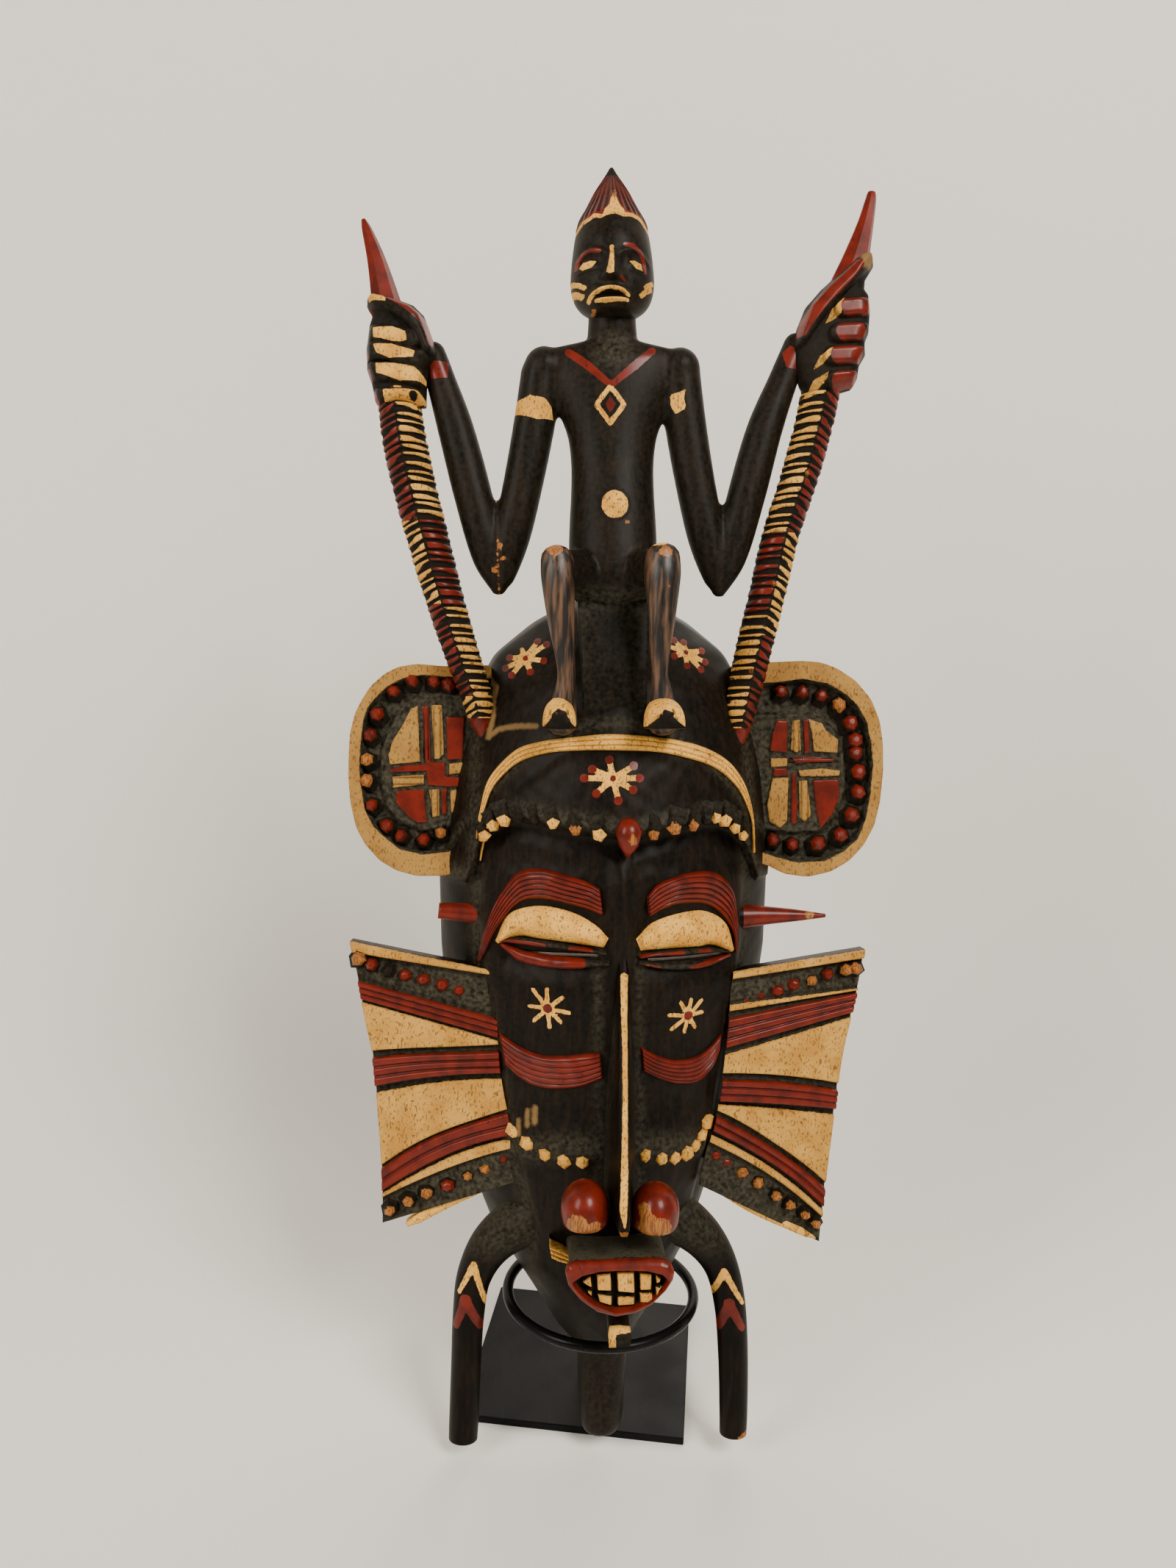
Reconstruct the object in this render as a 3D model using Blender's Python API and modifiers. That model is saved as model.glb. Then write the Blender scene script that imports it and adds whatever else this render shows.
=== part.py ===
"""A carved and painted kpeliye mask with a seated figure and two ribbed horns, in its ring stand.

The mask is one carving. Its own forms are written in parts of its height, in the mask's frame:
X to the viewer's right, Y to the back, Z up, with zero a little under the ring of the stand.
"""

from math import cos, pi, radians, sin, tau

import bmesh
import bpy
from mathutils import Matrix, Vector

# The carving: its height from the prong's tip to the hat's tip, and its true wall.
CARVING_HEIGHT = 0.640
SHELL_WALL = 0.009
EYE_SLIT_HEIGHT = 0.0028
PART = CARVING_HEIGHT / 640

# How it stands: it leans back, and a little to the viewer's left, with its chin in the ring.
RECLINE = radians(8.0)
LEAN = radians(2.0)

# The stand.
PLATE_SIDE = 0.118
PLATE_THICKNESS = 0.004
PLATE_TURN = radians(8.2)
PLATE_EDGE = 0.0006
RING_HEIGHT = 0.080
RING_OUTER_RADIUS = 0.0505
RING_SET_FORWARD = 0.055
RING_SET_ASIDE = 0.0042
ROD_RADIUS = 0.00275
POST_RADIUS = 0.004
SEAT_GAP = 0.0003

# Fits between the carving, the ring and the floor. The peg's root is in parts, behind the chin's front.
CHIN_CLEARANCE = 0.008
PEG_OVERHANG = 0.004
PEG_THICKNESS = 0.011
PEG_ROOT = -30
LEG_CLEARANCE = 0.008
PRONG_CLEARANCE = 0.001

RING_INNER_RADIUS = RING_OUTER_RADIUS - 2 * ROD_RADIUS
RING_CENTRE = Vector((RING_SET_ASIDE, -RING_SET_FORWARD, RING_HEIGHT))
MASK_ORIGIN = RING_CENTRE + Vector((5.8, 16, -15)) * PART
TO_WORLD = (
    Matrix.Translation(MASK_ORIGIN)
    @ Matrix.Rotation(-LEAN, 4, "Y")
    @ Matrix.Rotation(-RECLINE, 4, "X")
)
TO_MASK = TO_WORLD.inverted()

# The shell's outline in parts: height, reach to the left, reach to the right, depth to the front.
CHIN_REACH = (RING_INNER_RADIUS - CHIN_CLEARANCE) / PART
SHELL_PROFILE = (
    (-24, 11, 4, 30),
    (-8, CHIN_REACH - 8, CHIN_REACH - 24, 40),
    (15, CHIN_REACH + 6, CHIN_REACH - 8, 50),
    (40, 60, 43, 56),
    (60, 68, 50, 58),
    (100, 76, 64, 58),
    (150, 84, 76, 59),
    (190, 88, 82, 62),
    (236, 89, 84, 66),
    (243, 88, 84, 74),
    (256, 86, 83, 77),
    (280, 82, 81, 74),
    (300, 77, 77, 69),
    (322, 70, 71, 60),
    (342, 60, 61, 46),
    (360, 38, 40, 28),
    (371, 15, 17, 12),
)
SECTION_POWER = 1.7
HOLLOW_FLOOR = 34
HOLLOW_ROOF = 356
SHELL_RINGS = 20
SHELL_SIDES = 16
FLAT_ANGLE = radians(2.5)

WOOD = (0.018, 0.013, 0.010)
BLACK_STEEL = (0.008, 0.008, 0.009)


def clear_scene():
    for thing in list(bpy.data.objects):
        bpy.data.objects.remove(thing)


def collection(name):
    made = bpy.data.collections.new(name)
    bpy.context.scene.collection.children.link(made)
    return made


def finish(name, colour, roughness, metallic):
    material = bpy.data.materials.new(name)
    material.use_nodes = True
    shader = material.node_tree.nodes["Principled BSDF"]
    shader.inputs["Base Color"].default_value = (*colour, 1)
    shader.inputs["Roughness"].default_value = roughness
    shader.inputs["Metallic"].default_value = metallic
    return material


def curve_through(points, count):
    """A smooth run of points through the given ones, evenly shared between them."""
    points = [Vector(point) for point in points]
    ends = [2 * points[0] - points[1], *points, 2 * points[-1] - points[-2]]
    spans = len(points) - 1
    run = []
    for step in range(count):
        place = step * spans / (count - 1)
        span = min(int(place), spans - 1)
        t = place - span
        a, b, c, d = ends[span : span + 4]
        run.append(
            0.5 * ((2 * b) + (c - a) * t + (2 * a - 5 * b + 4 * c - d) * t**2
                   + (3 * b - a - 3 * c + d) * t**3)
        )
    return run


def profile_at(height):
    """The shell's left reach, right reach and depth at a height, all in parts."""
    if height <= SHELL_PROFILE[0][0]:
        return SHELL_PROFILE[0][1:]
    for low, high in zip(SHELL_PROFILE, SHELL_PROFILE[1:]):
        if height <= high[0]:
            share = (height - low[0]) / (high[0] - low[0])
            return tuple(a + (b - a) * share for a, b in zip(low[1:], high[1:]))
    return SHELL_PROFILE[-1][1:]


def front_of_shell(x, height):
    """The Y of the shell's front surface, in parts."""
    left, right, depth = profile_at(height)
    reach = left if x < 0 else right
    share = min(abs(x) / reach, 0.98)
    return -depth * (1 - share**SECTION_POWER) ** (1 / SECTION_POWER)


def new_object(name, mesh, group):
    made = bpy.data.objects.new(name, mesh)
    group.objects.link(made)
    return made


def mesh_from(name, form, group):
    mesh = bpy.data.meshes.new(name)
    bmesh.ops.recalc_face_normals(form, faces=form.faces)
    form.to_mesh(mesh)
    form.free()
    return new_object(name, mesh, group)


def loft(name, rings, group):
    """A closed solid through rings of points that have as many points each, all in parts."""
    form = bmesh.new()
    rows = [[form.verts.new(Vector(point) * PART) for point in ring] for ring in rings]
    for low, high in zip(rows, rows[1:]):
        for a in range(len(low)):
            b = (a + 1) % len(low)
            form.faces.new((low[a], low[b], high[b], high[a]))
    for row in (rows[0], rows[-1]):
        middle = form.verts.new(sum((point.co for point in row), Vector()) / len(row))
        for a in range(len(row)):
            form.faces.new((row[a], row[(a + 1) % len(row)], middle))
    return mesh_from(name, form, group)


def tube(name, path, radii, group, sides=8, flatten=1.0, facing=(0, -1, 0)):
    """A limb along a path. flatten thins it along the facing direction."""
    path = [Vector(point) for point in path]
    rings = []
    for index, point in enumerate(path):
        ahead = path[min(index + 1, len(path) - 1)] - path[max(index - 1, 0)]
        ahead.normalize()
        across = ahead.cross(Vector(facing)).normalized()
        outward = across.cross(ahead)
        radius = radii[index] if isinstance(radii, (list, tuple)) else radii
        rings.append(
            [
                point + across * radius * cos(tau * k / sides)
                + outward * radius * flatten * sin(tau * k / sides)
                for k in range(sides)
            ]
        )
    return loft(name, rings, group)


def limb(name, stations, group, count, sides=8, flatten=1.0):
    """A tube whose stations are (x, y, z, radius), smoothed into the given count of rings."""
    centres = curve_through([station[:3] for station in stations], count)
    radii = [v.x for v in curve_through([(s[3], 0, 0) for s in stations], count)]
    return tube(name, centres, radii, group, sides, flatten)


def ball(name, centre, radii, group, detail=2):
    """A rounded lump: a small sphere stretched to three radii."""
    form = bmesh.new()
    bmesh.ops.create_icosphere(form, subdivisions=detail, radius=1)
    for vertex in form.verts:
        vertex.co = Vector(centre) * PART + Vector(
            [value * radius * PART for value, radius in zip(vertex.co, radii)]
        )
    return mesh_from(name, form, group)


def nub(name, centre, half_width, half_height, reach, group):
    """A small pointed nub that stands out to the front."""
    form = bmesh.new()
    bmesh.ops.create_cone(form, cap_ends=True, segments=4, radius1=1, radius2=0, depth=1)
    for vertex in form.verts:
        x, z, out = vertex.co
        place = Vector((x * half_width, -(out + 0.2) * reach, z * half_height))
        vertex.co = (Vector(centre) + place) * PART
    return mesh_from(name, form, group)


def block(name, low, high, group):
    """A squared block between two corners."""
    form = bmesh.new()
    bmesh.ops.create_cube(form, size=1)
    low, high = Vector(low), Vector(high)
    for vertex in form.verts:
        place = [a + (b - a) * (v + 0.5) for a, b, v in zip(low, high, vertex.co)]
        vertex.co = Vector(place) * PART
    return mesh_from(name, form, group)


def relief(name, path, half_widths, height, group, count=7):
    """A raised band that lies on the shell's front along a path of (x, z)."""
    line = curve_through([(x, 0, z) for x, z in path], count)
    widths = [v.x for v in curve_through([(w, 0, 0) for w in half_widths], count)]
    rings = []
    for index, place in enumerate(line):
        ahead = (line[min(index + 1, count - 1)] - line[max(index - 1, 0)]).normalized()
        side = Vector((-ahead.z, 0, ahead.x))
        ring = []
        for across, rise in ((-1, -3), (-1, 0.6 * height), (0, height), (1, 0.6 * height), (1, -3)):
            spot = place + side * across * widths[index]
            ring.append((spot.x, front_of_shell(spot.x, spot.z) - rise, spot.z))
        rings.append(ring)
    return loft(name, rings, group)


def shell_section(height, inset=0.0, back=0.0, sides=SHELL_SIDES):
    """One level of the shell: a rounded bow to the front, closed by a straight back."""
    left, right, depth = profile_at(height)
    ring = []
    for k in range(sides + 1):
        turn = pi * k / sides
        reach = (left if cos(turn) > 0 else right) - inset
        ease = 2 / SECTION_POWER
        x = -reach * abs(cos(turn)) ** ease * (1 if cos(turn) > 0 else -1)
        y = -(depth - inset) * sin(turn) ** ease
        ring.append((x, y, height))
    return [(ring[0][0], back, height), *ring, (ring[-1][0], back, height)]


def shell(group):
    """The face, the forehead and the skull cap as one hollow bow, still solid here."""
    lowest, highest = SHELL_PROFILE[0][0], SHELL_PROFILE[-1][0]
    levels = [lowest + (highest - lowest) * k / SHELL_RINGS for k in range(SHELL_RINGS + 1)]
    levels += [236, 243]
    return loft("shell", [shell_section(z, back=2) for z in sorted(levels)], group)


def hollow(group):
    """The space behind the face, one wall in from the outer shell."""
    wall = SHELL_WALL / PART
    count = 12
    levels = [HOLLOW_FLOOR + (HOLLOW_ROOF - HOLLOW_FLOOR) * k / count for k in range(count + 1)]
    return loft("hollow", [shell_section(z, wall, 12, 12) for z in levels], group)


def eyes(forms, cutters):
    """Half-closed eyes: a lid, a lens-shaped rim and a slit that goes right through."""
    for name, inner, outer, middle in (("left", -3, -57, 192), ("right", 11, 61, 189)):
        centre = (inner + outer) / 2
        half = abs(outer - inner) / 2
        relief("lid_" + name, [(inner, 201), (centre, 205), (outer, 197)], (6, 10, 3), 5, forms)
        relief(
            "lens_" + name, [(inner, middle), (centre, middle), (outer, middle + 1)],
            (1.5, 6.5, 1.5), 4.5, forms,
        )
        slit = EYE_SLIT_HEIGHT / PART / 2
        block(
            "slit_" + name, (centre - half * 0.78, -90, middle - slit),
            (centre + half * 0.78, -20, middle + slit), cutters,
        )


def face(group):
    """Eyebrows, cheek bands, the long nose and its nostrils."""
    relief("brow_left", [(-65, 190), (-60, 211), (-45, 227), (-28, 229), (-6, 219)],
           (3, 5, 6, 6, 6), 5, group, 9)
    relief("brow_right", [(16, 216), (30, 227), (45, 226), (57, 212), (63, 192)],
           (5, 6, 6, 5, 3), 5, group, 9)
    relief("cheek_band_left", [(-55, 144), (-32, 133), (-7, 140)], (7, 7, 7), 4, group)
    relief("cheek_band_right", [(12, 143), (37, 133), (54, 143)], (5, 7, 5), 4, group)
    nose = []
    for z, half_width, front in ((204, 6, 64), (184, 6.5, 69), (150, 7, 78), (110, 7.5, 92),
                                 (84, 8, 104), (74, 7, 104), (70, 5, 96)):
        nose.append([(-half_width + 2, -45, z), (-half_width + 2, -front + 9, z), (2, -front, z),
                     (half_width + 2, -front + 9, z), (half_width + 2, -45, z)])
    loft("nose", nose, group)
    ball("nostril_left", (-15, -86, 83), (11, 13, 13), group)
    ball("nostril_right", (17, -86, 81), (11, 13, 13), group)
    block("striped_bar", (-34, -66, 54), (-22, -52, 64), group)


def join(target, operation, other):
    joined = target.modifiers.new(other.name, "BOOLEAN")
    joined.operation = operation
    joined.object = other
    joined.solver = "EXACT"


def mouth(forms, tools):
    """A wide block that stands far out, with lips round two rows of teeth."""
    rings = []
    for y, scale, drop in ((-40, 0.9, 4), (-70, 0.92, 2), (-88, 1.0, 0), (-97, 1.0, 0), (-100, 0.9, 0)):
        ring = []
        for k in range(16):
            turn = tau * k / 16
            lift = 9 if sin(turn) > 0 else 17
            ring.append((26 * scale * cos(turn), y, 52 - drop + lift * scale * sin(turn)))
        rings.append(ring)
    lips = loft("mouth", rings, forms)
    rings = []
    for y, scale in ((-108, 1.0), (-94, 1.0)):
        rings.append(
            [(19 * cos(tau * k / 12), y, 50 + (6 if sin(tau * k / 12) > 0 else 11) * sin(tau * k / 12))
             for k in range(12)]
        )
    join(lips, "DIFFERENCE", loft("mouth_recess", rings, tools))
    for name, low, high, count, reach in (("upper", 47.5, 55, 5, 16), ("lower", 41, 46.5, 4, 11)):
        width = 2 * reach / count
        for k in range(count):
            start = -reach + k * width
            tooth = block(f"tooth_{name}_{k}", (start + 0.6, -98.5, low), (start + width - 0.6, -90, high), tools)
            join(lips, "UNION", tooth)


def nub_rows(group):
    """Rows of carved nubs on the brow and along the jaw."""
    brow = [(x, 255 + 4 * abs(sin(pi * x / 70))) for x in range(-62, 66, 9)]
    jaw = [(side * x + 1, 104 - 0.8 * (48 - x)) for side in (-1, 1) for x in (46, 38, 30, 22, 15)]
    for row, places in (("brow", brow), ("jaw", jaw)):
        for k, (x, z) in enumerate(places):
            z = max(z, 94)
            nub(f"nub_{row}_{k}", (x, front_of_shell(x, z), z), 3.6, 4, 7, group)
    nub("nub_centre", (6, front_of_shell(6, 250), 250), 5.5, 11, 10, group)


def forehead(group):
    """The grooved band that frames the forehead as an arc."""
    arc = [(-66, 236), (-66, 258), (-58, 281), (-34, 295), (1, 298), (36, 295), (62, 280),
           (71, 260), (71, 232)]
    relief("forehead_band", arc, (2, 3, 3.5, 3.5, 3.5, 3.5, 3.5, 3, 2), 3.5, group, 17)


def ears(group):
    """Two round lobes with a rim, a trough of nubs and a raised panel in the middle."""
    for name, side, centre, reach in (("left", -1, -84, 48), ("right", 1, 87, 52)):
        rings = []
        for scale, y in ((1, -13), (1, -29), (0.85, -29.5), (0.81, -24), (0.58, -24), (0.54, -28), (0.3, -28.5)):
            ring = []
            for k in range(18):
                turn = tau * k / 18
                ease = 0.8
                x = centre + side * reach * scale * abs(cos(turn)) ** ease * (1 if cos(turn) > 0 else -0.62)
                z = 281.5 + 54 * scale * abs(sin(turn)) ** ease * (1 if sin(turn) > 0 else -1)
                ring.append((x, y, z))
            rings.append(ring)
        loft("ear_" + name, rings, group)
        for k in range(12):
            turn = radians(-105 + 210 * k / 11)
            x = centre + side * reach * 0.7 * cos(turn)
            nub(f"ear_nub_{name}_{k}", (x, -25, 281.5 + 38 * sin(turn)), 3.6, 4, 7, group)
        block(f"ear_upright_{name}", (centre + side * 6 - 4, -30, 256), (centre + side * 6 + 4, -26, 307), group)
        block(f"ear_crossbar_{name}", (centre + side * 5 - 22, -29.6, 277), (centre + side * 5 + 22, -25.6, 286), group)


# Where the rows of a wing start, as shares of its outer and inner edges, and how far they stand out.
WING_ROWS = (
    (0.0, 0.0, 4), (0.03, 0.03, 4), (0.04, 0.05, 0), (0.13, 0.23, 0), (0.14, 0.24, 4), (0.2, 0.335, 4),
    (0.21, 0.345, 2), (0.385, 0.36, 2), (0.4, 0.385, 5), (0.51, 0.5, 5), (0.525, 0.515, 2),
    (0.79, 0.66, 2), (0.8, 0.67, 4.5), (0.89, 0.75, 4.5), (0.9, 0.79, 1), (0.985, 0.95, 0), (1.0, 1.0, 4),
)
WING_NUBS = (("upper", 0.085, 0.14, 8), ("lower", 0.945, 0.87, 7))


def wing_edges(side):
    """The outer and inner edges of a wing, top to bottom."""
    if side < 0:
        outer = [(-132, -20, 195), (-122, -20, 137), (-119, -20, 97), (-116, -20, 51)]
        inner = [(-60, -34, 183), (-56, -34, 133), (-44, -34, 76)]
    else:
        outer = [(130, -20, 189), (117, -20, 130), (111, -20, 84), (107, -20, 39)]
        inner = [(61, -34, 183), (55, -34, 131), (42, -34, 70)]
    return outer, inner


def point_on(edge, share):
    return curve_through(edge, 101)[round(100 * share)]


def wings(group):
    """Two fans of ribbed bands, smooth wedges and rows of nubs."""
    for name, side in (("left", -1), ("right", 1)):
        outer, inner = wing_edges(side)
        rings = []
        for reach in (0, 0.5, 1):
            front, back = [], []
            for out_share, in_share, rise in WING_ROWS:
                place = point_on(inner, in_share).lerp(point_on(outer, out_share), reach)
                front.append((place.x, place.y - 4 - rise, place.z))
                back.append((place.x, place.y + 4, place.z))
            rings.append(front + [back[-1], back[8], back[0]])
        loft("wing_" + name, rings, group)
        for row, out_share, in_share, count in WING_NUBS:
            for k in range(count):
                start, end = point_on(inner, in_share), point_on(outer, out_share)
                place = start.lerp(end, (k + 0.7) / count)
                nub(f"wing_nub_{name}_{row}_{k}", (place.x, place.y - 5, place.z), 3.4, 3, 6, group)


def chin_and_legs(group):
    """The prong, the two curved side legs and the peg that rests on the ring."""
    floor = -MASK_ORIGIN.z / PART
    leg_tip = floor + LEG_CLEARANCE / PART
    prong_tip = floor + (PLATE_THICKNESS + PRONG_CLEARANCE) / PART
    limb("prong", [(-3, -22, 20, 22), (-4, -22, -4, 14.5), (-5, -22, -30, 12), (-5.5, -22, prong_tip + 7, 9.5),
                   (-5.5, -22, prong_tip, 3)], group, 7, 10)
    limb("leg_left", [(-30, -30, 56, 13), (-58, -29, 43, 11), (-70, -28, 22, 8.5), (-73, -28, -5, 7.5),
                      (-74.5, -28, leg_tip, 7.2)], group, 10, 8)
    limb("leg_right", [(24, -30, 56, 13), (45, -29, 43, 10), (57, -28, 24, 8), (62, -28, -15, 7.5),
                       (62, -28, leg_tip, 7)], group, 10, 8)
    ring_front = RING_CENTRE - Vector((0, RING_OUTER_RADIUS + PEG_OVERHANG, 0))
    underside = TO_MASK @ (ring_front + Vector((0, 0, ROD_RADIUS + SEAT_GAP)))
    tip = underside / PART
    slope = sin(RECLINE)
    rise = PEG_THICKNESS / PART
    rings = []
    for y in (tip.y, PEG_ROOT):
        z = tip.z + slope * (y - tip.y)
        rings.append([(-5, y, z), (6, y, z + 0.4), (6, y, z + rise), (-5, y, z + rise)])
    loft("peg", rings, group)
    limb("spike_left", [(-60, -30, 210, 6), (-72, -30, 210, 5), (-85, -30, 211, 4)], group, 4, 8)
    limb("spike_right", [(60, -30, 209, 6.5), (76, -30, 208, 5), (94, -30, 208, 3), (108, -30, 208, 0.8)],
         group, 5, 8)


# The horns' middle lines from the foot up to the tip, as (x, y, z, half width).
HORN_LEFT = ((-63, -34, 296, 3.5), (-68, -35, 316, 8), (-75, -37, 340, 9), (-91, -40, 396, 10.5),
             (-101, -43, 440, 11), (-104, -45, 462, 9))
HORN_RIGHT = ((62, -34, 290, 3.5), (65, -35, 312, 8), (70, -37, 340, 9), (83, -40, 397, 9),
              (100, -43, 452, 9.5), (104, -45, 470, 9))
HORN_RIBS = 26


def horns(group):
    """Two ribbed horns that stand on the skull and pass through the figure's fists."""
    for name, line in (("left", HORN_LEFT), ("right", HORN_RIGHT)):
        count = 2 * HORN_RIBS + 1
        centres = curve_through([station[:3] for station in line], count)
        radii = [v.x for v in curve_through([(s[3], 0, 0) for s in line], count)]
        ribbed = [radius * (1.0 if k % 2 else 0.82) for k, radius in enumerate(radii)]
        tube("horn_" + name, centres, ribbed, group, 4)


def hands(group):
    """A fist round each horn: four fingers across it, a thumb up along it and the red horn tip."""
    for name, side, fist, wrist, tip in (
        ("left", -1, (-105, -45, 488), (-84, -42, 478), (-119, -45, 547)),
        ("right", 1, (108, -45, 498), (91, -42, 483), (127, -45, 563)),
    ):
        x, y, z = fist
        ball("palm_" + name, (x - side * 3, y + 3, z), (13, 12, 27), group, 2)
        for k in range(4):
            height = z - 19 + 12 * k
            shift = side * (k - 1.5) * 2.2
            ends = [(x + shift - side * 12, y - 4, height + 1), (x + shift, y - 13, height),
                    (x + shift + side * 11, y - 4, height - 1)]
            tube(f"finger_{name}_{k}", ends, (4, 6, 5.5), group, 5)
        top = z + 30
        limb("thumb_" + name, [(wrist[0], wrist[1] - 4, wrist[2] + 4, 7), (x - side * 9, y - 9, z + 14, 6),
                               (x + side * 4, y - 6, top, 5)], group, 5, 6)
        limb("horn_tip_" + name, [(x + side * 4, y, z + 18, 8.5), (x + side * 8, y, z + 36, 6),
                                  (*tip[:2], tip[2] - 2, 2.2), (*tip, 1)], group, 6, 8)


def arms(group):
    """Bent arms: down to the elbow, then up and out to the fist."""
    for name, shoulder, elbow, wrist in (
        ("left", (-34, -45, 477), (-53, -42, 378), (-88, -43, 482)),
        ("right", (33, -45, 479), (51, -42, 377), (92, -43, 490)),
    ):
        middle = [(a + b) / 2 for a, b in zip(shoulder, elbow)]
        upper = [(*shoulder, 10.5), (*middle, 10.5), (elbow[0], elbow[1], elbow[2] + 8, 10), (*elbow, 9),
                 (elbow[0], elbow[1], elbow[2] - 13, 4)]
        limb("upper_arm_" + name, upper, group, 8, 8)
        middle = [(a + b) / 2 for a, b in zip(wrist, elbow)]
        limb("forearm_" + name, [(elbow[0], elbow[1], elbow[2] - 4, 8), (*middle[:2], middle[2] + 4, 9.5),
                                 (*wrist, 7)], group, 6, 8)
        ball("shoulder_" + name, (shoulder[0], shoulder[1], shoulder[2]), (10.5, 11, 11), group, 2)


def body(group):
    """The seated figure's trunk, neck, seat and folded legs."""
    stations = ((362, 16, 14, -48), (372, 23, 19, -48), (390, 24, 18, -48), (420, 20, 15, -46),
                (444, 23, 14, -45), (468, 31, 13, -45), (483, 31, 11, -45), (489, 20, 10, -45))
    rings = []
    for z, half_width, half_depth, y in stations:
        rings.append([(half_width * cos(tau * k / 11), y + half_depth * sin(tau * k / 11), z)
                      for k in range(11)])
    loft("trunk", rings, group)
    limb("neck", [(0, -45, 482, 12), (0, -45, 510, 11.5)], group, 2, 10)
    rings = []
    for z, half_width, front in ((294, 16, 74), (330, 14.5, 68), (372, 13, 60)):
        rings.append([(-half_width, -20, z), (half_width, -20, z), (half_width, -front, z),
                      (-half_width, -front, z)])
    loft("seat", rings, group)
    for name, x in (("left", -27), ("right", 21)):
        limb("thigh_" + name, [(x * 0.5, -48, 378, 11), (x, -84, 380, 9)], group, 3, 8)
        limb("shin_" + name, [(x, -84, 387, 6), (x, -85, 378, 8.5), (x, -84, 350, 7), (x + 0.5, -80, 316, 6),
                              (x + 0.5, -78, 306, 6)], group, 8, 8)
        rings = []
        for y, half_width, top in ((-58, 7, 316), (-70, 8, 316), (-84, 10, 313), (-92, 9, 307)):
            rings.append([(x - half_width, y, 300), (x + half_width, y, 300),
                          (x + half_width, y, top - 3), (x + half_width * 0.4, y, top),
                          (x - half_width * 0.4, y, top), (x - half_width, y, top - 3)])
        loft("foot_" + name, rings, group)


def head(group):
    """The figure's head, with its pointed hat."""
    stations = ((497, 8, 10, -48), (502, 15, 17, -48), (512, 19, 20, -47), (524, 20.5, 21, -46),
                (536, 19.5, 20, -45), (546, 17.5, 18, -44), (547, 18.5, 19, -44), (556, 15, 15.5, -43),
                (566, 8, 8, -42), (575, 1.5, 1.5, -41))
    rings = []
    for z, half_width, half_depth, y in stations:
        rings.append([(half_width * cos(tau * k / 11), y + half_depth * sin(tau * k / 11), z)
                      for k in range(11)])
    loft("head", rings, group)
    limb("head_nose", [(0, -64, 535, 2), (0, -68, 524, 2.5), (0, -70, 516, 4.5)], group, 4, 6)
    for name, z, reach in (("upper", 512, 9), ("lower", 505, 8)):
        tube("lip_" + name, [(-reach, -61, z - 1), (0, -68, z), (reach, -61, z - 1)], (2, 2.8, 2), group, 6)
    for name, side in (("left", -1), ("right", 1)):
        tube("head_brow_" + name, [(side * 3, -64, 530), (side * 9, -63, 533), (side * 16, -56, 528)],
             (2, 2.4, 2), group, 6)
        ball("head_eye_" + name, (side * 9.5, -62, 527), (5, 3.5, 2.6), group, 1)


def gather(target, operation, group):
    """Joins or cuts with a whole collection, and keeps every face flat for the next cut."""
    joined = target.modifiers.new(operation.lower(), "BOOLEAN")
    joined.operation = operation
    joined.operand_type = "COLLECTION"
    joined.collection = group
    joined.solver = "EXACT"
    target.modifiers.new("triangles", "TRIANGULATE")


def carving(group, forms, cutters, tools):
    """Joins every carved form to the shell, hollows it and sets it in the ring."""
    mask = shell(group)
    mask.name = "mask_carving"
    face(forms)
    mouth(forms, tools)
    eyes(forms, cutters)
    nub_rows(forms)
    forehead(forms)
    ears(forms)
    wings(forms)
    chin_and_legs(forms)
    horns(forms)
    hands(forms)
    arms(forms)
    body(forms)
    head(forms)
    hollow(cutters)
    gather(mask, "UNION", forms)
    gather(mask, "DIFFERENCE", cutters)
    flats = mask.modifiers.new("flats", "DECIMATE")
    flats.decimate_type = "DISSOLVE"
    flats.angle_limit = FLAT_ANGLE
    for made in (mask, *forms.objects, *cutters.objects, *tools.objects):
        made.data.transform(TO_WORLD)
    mask.data.materials.append(finish("carved_wood", WOOD, 0.45, 0.0))
    return mask


def stand(group):
    """The foot plate, the post and the ring, all of black steel."""
    steel = finish("black_steel", BLACK_STEEL, 0.35, 0.6)
    bpy.ops.mesh.primitive_cube_add(size=1, location=(0, 0, PLATE_THICKNESS / 2))
    plate = bpy.context.object
    plate.name = "stand_plate"
    plate.data.transform(Matrix.Diagonal((PLATE_SIDE, PLATE_SIDE, PLATE_THICKNESS, 1)))
    plate.rotation_euler.z = -PLATE_TURN
    edge = plate.modifiers.new("edge", "BEVEL")
    edge.width = PLATE_EDGE
    edge.segments = 2
    bpy.ops.mesh.primitive_torus_add(
        location=RING_CENTRE, major_radius=RING_OUTER_RADIUS - ROD_RADIUS, minor_radius=ROD_RADIUS,
        major_segments=36, minor_segments=6,
    )
    ring = bpy.context.object
    ring.name = "stand_ring"
    low = PLATE_THICKNESS + SEAT_GAP
    high = RING_HEIGHT - ROD_RADIUS - SEAT_GAP
    behind = RING_CENTRE.y + RING_OUTER_RADIUS - ROD_RADIUS
    bpy.ops.mesh.primitive_cylinder_add(
        vertices=16, radius=POST_RADIUS, depth=high - low, location=(RING_CENTRE.x, behind, (low + high) / 2)
    )
    post = bpy.context.object
    post.name = "stand_post"
    for piece in (plate, ring, post):
        piece.data.materials.append(steel)
        for other in list(piece.users_collection):
            other.objects.unlink(piece)
        group.objects.link(piece)
    for piece in (ring, post):
        piece.data.shade_smooth()
        piece.data.set_sharp_from_angle(angle=radians(40))


clear_scene()
pieces = collection("kpeliye mask")
carved_forms = collection("carved forms")
carved_cuts = collection("carved cuts")
mouth_forms = collection("mouth forms")
carving(pieces, carved_forms, carved_cuts, mouth_forms)
stand(pieces)
for helper in (*carved_forms.objects, *carved_cuts.objects, *mouth_forms.objects):
    helper.hide_render = True
    helper.display_type = "WIRE"
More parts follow.
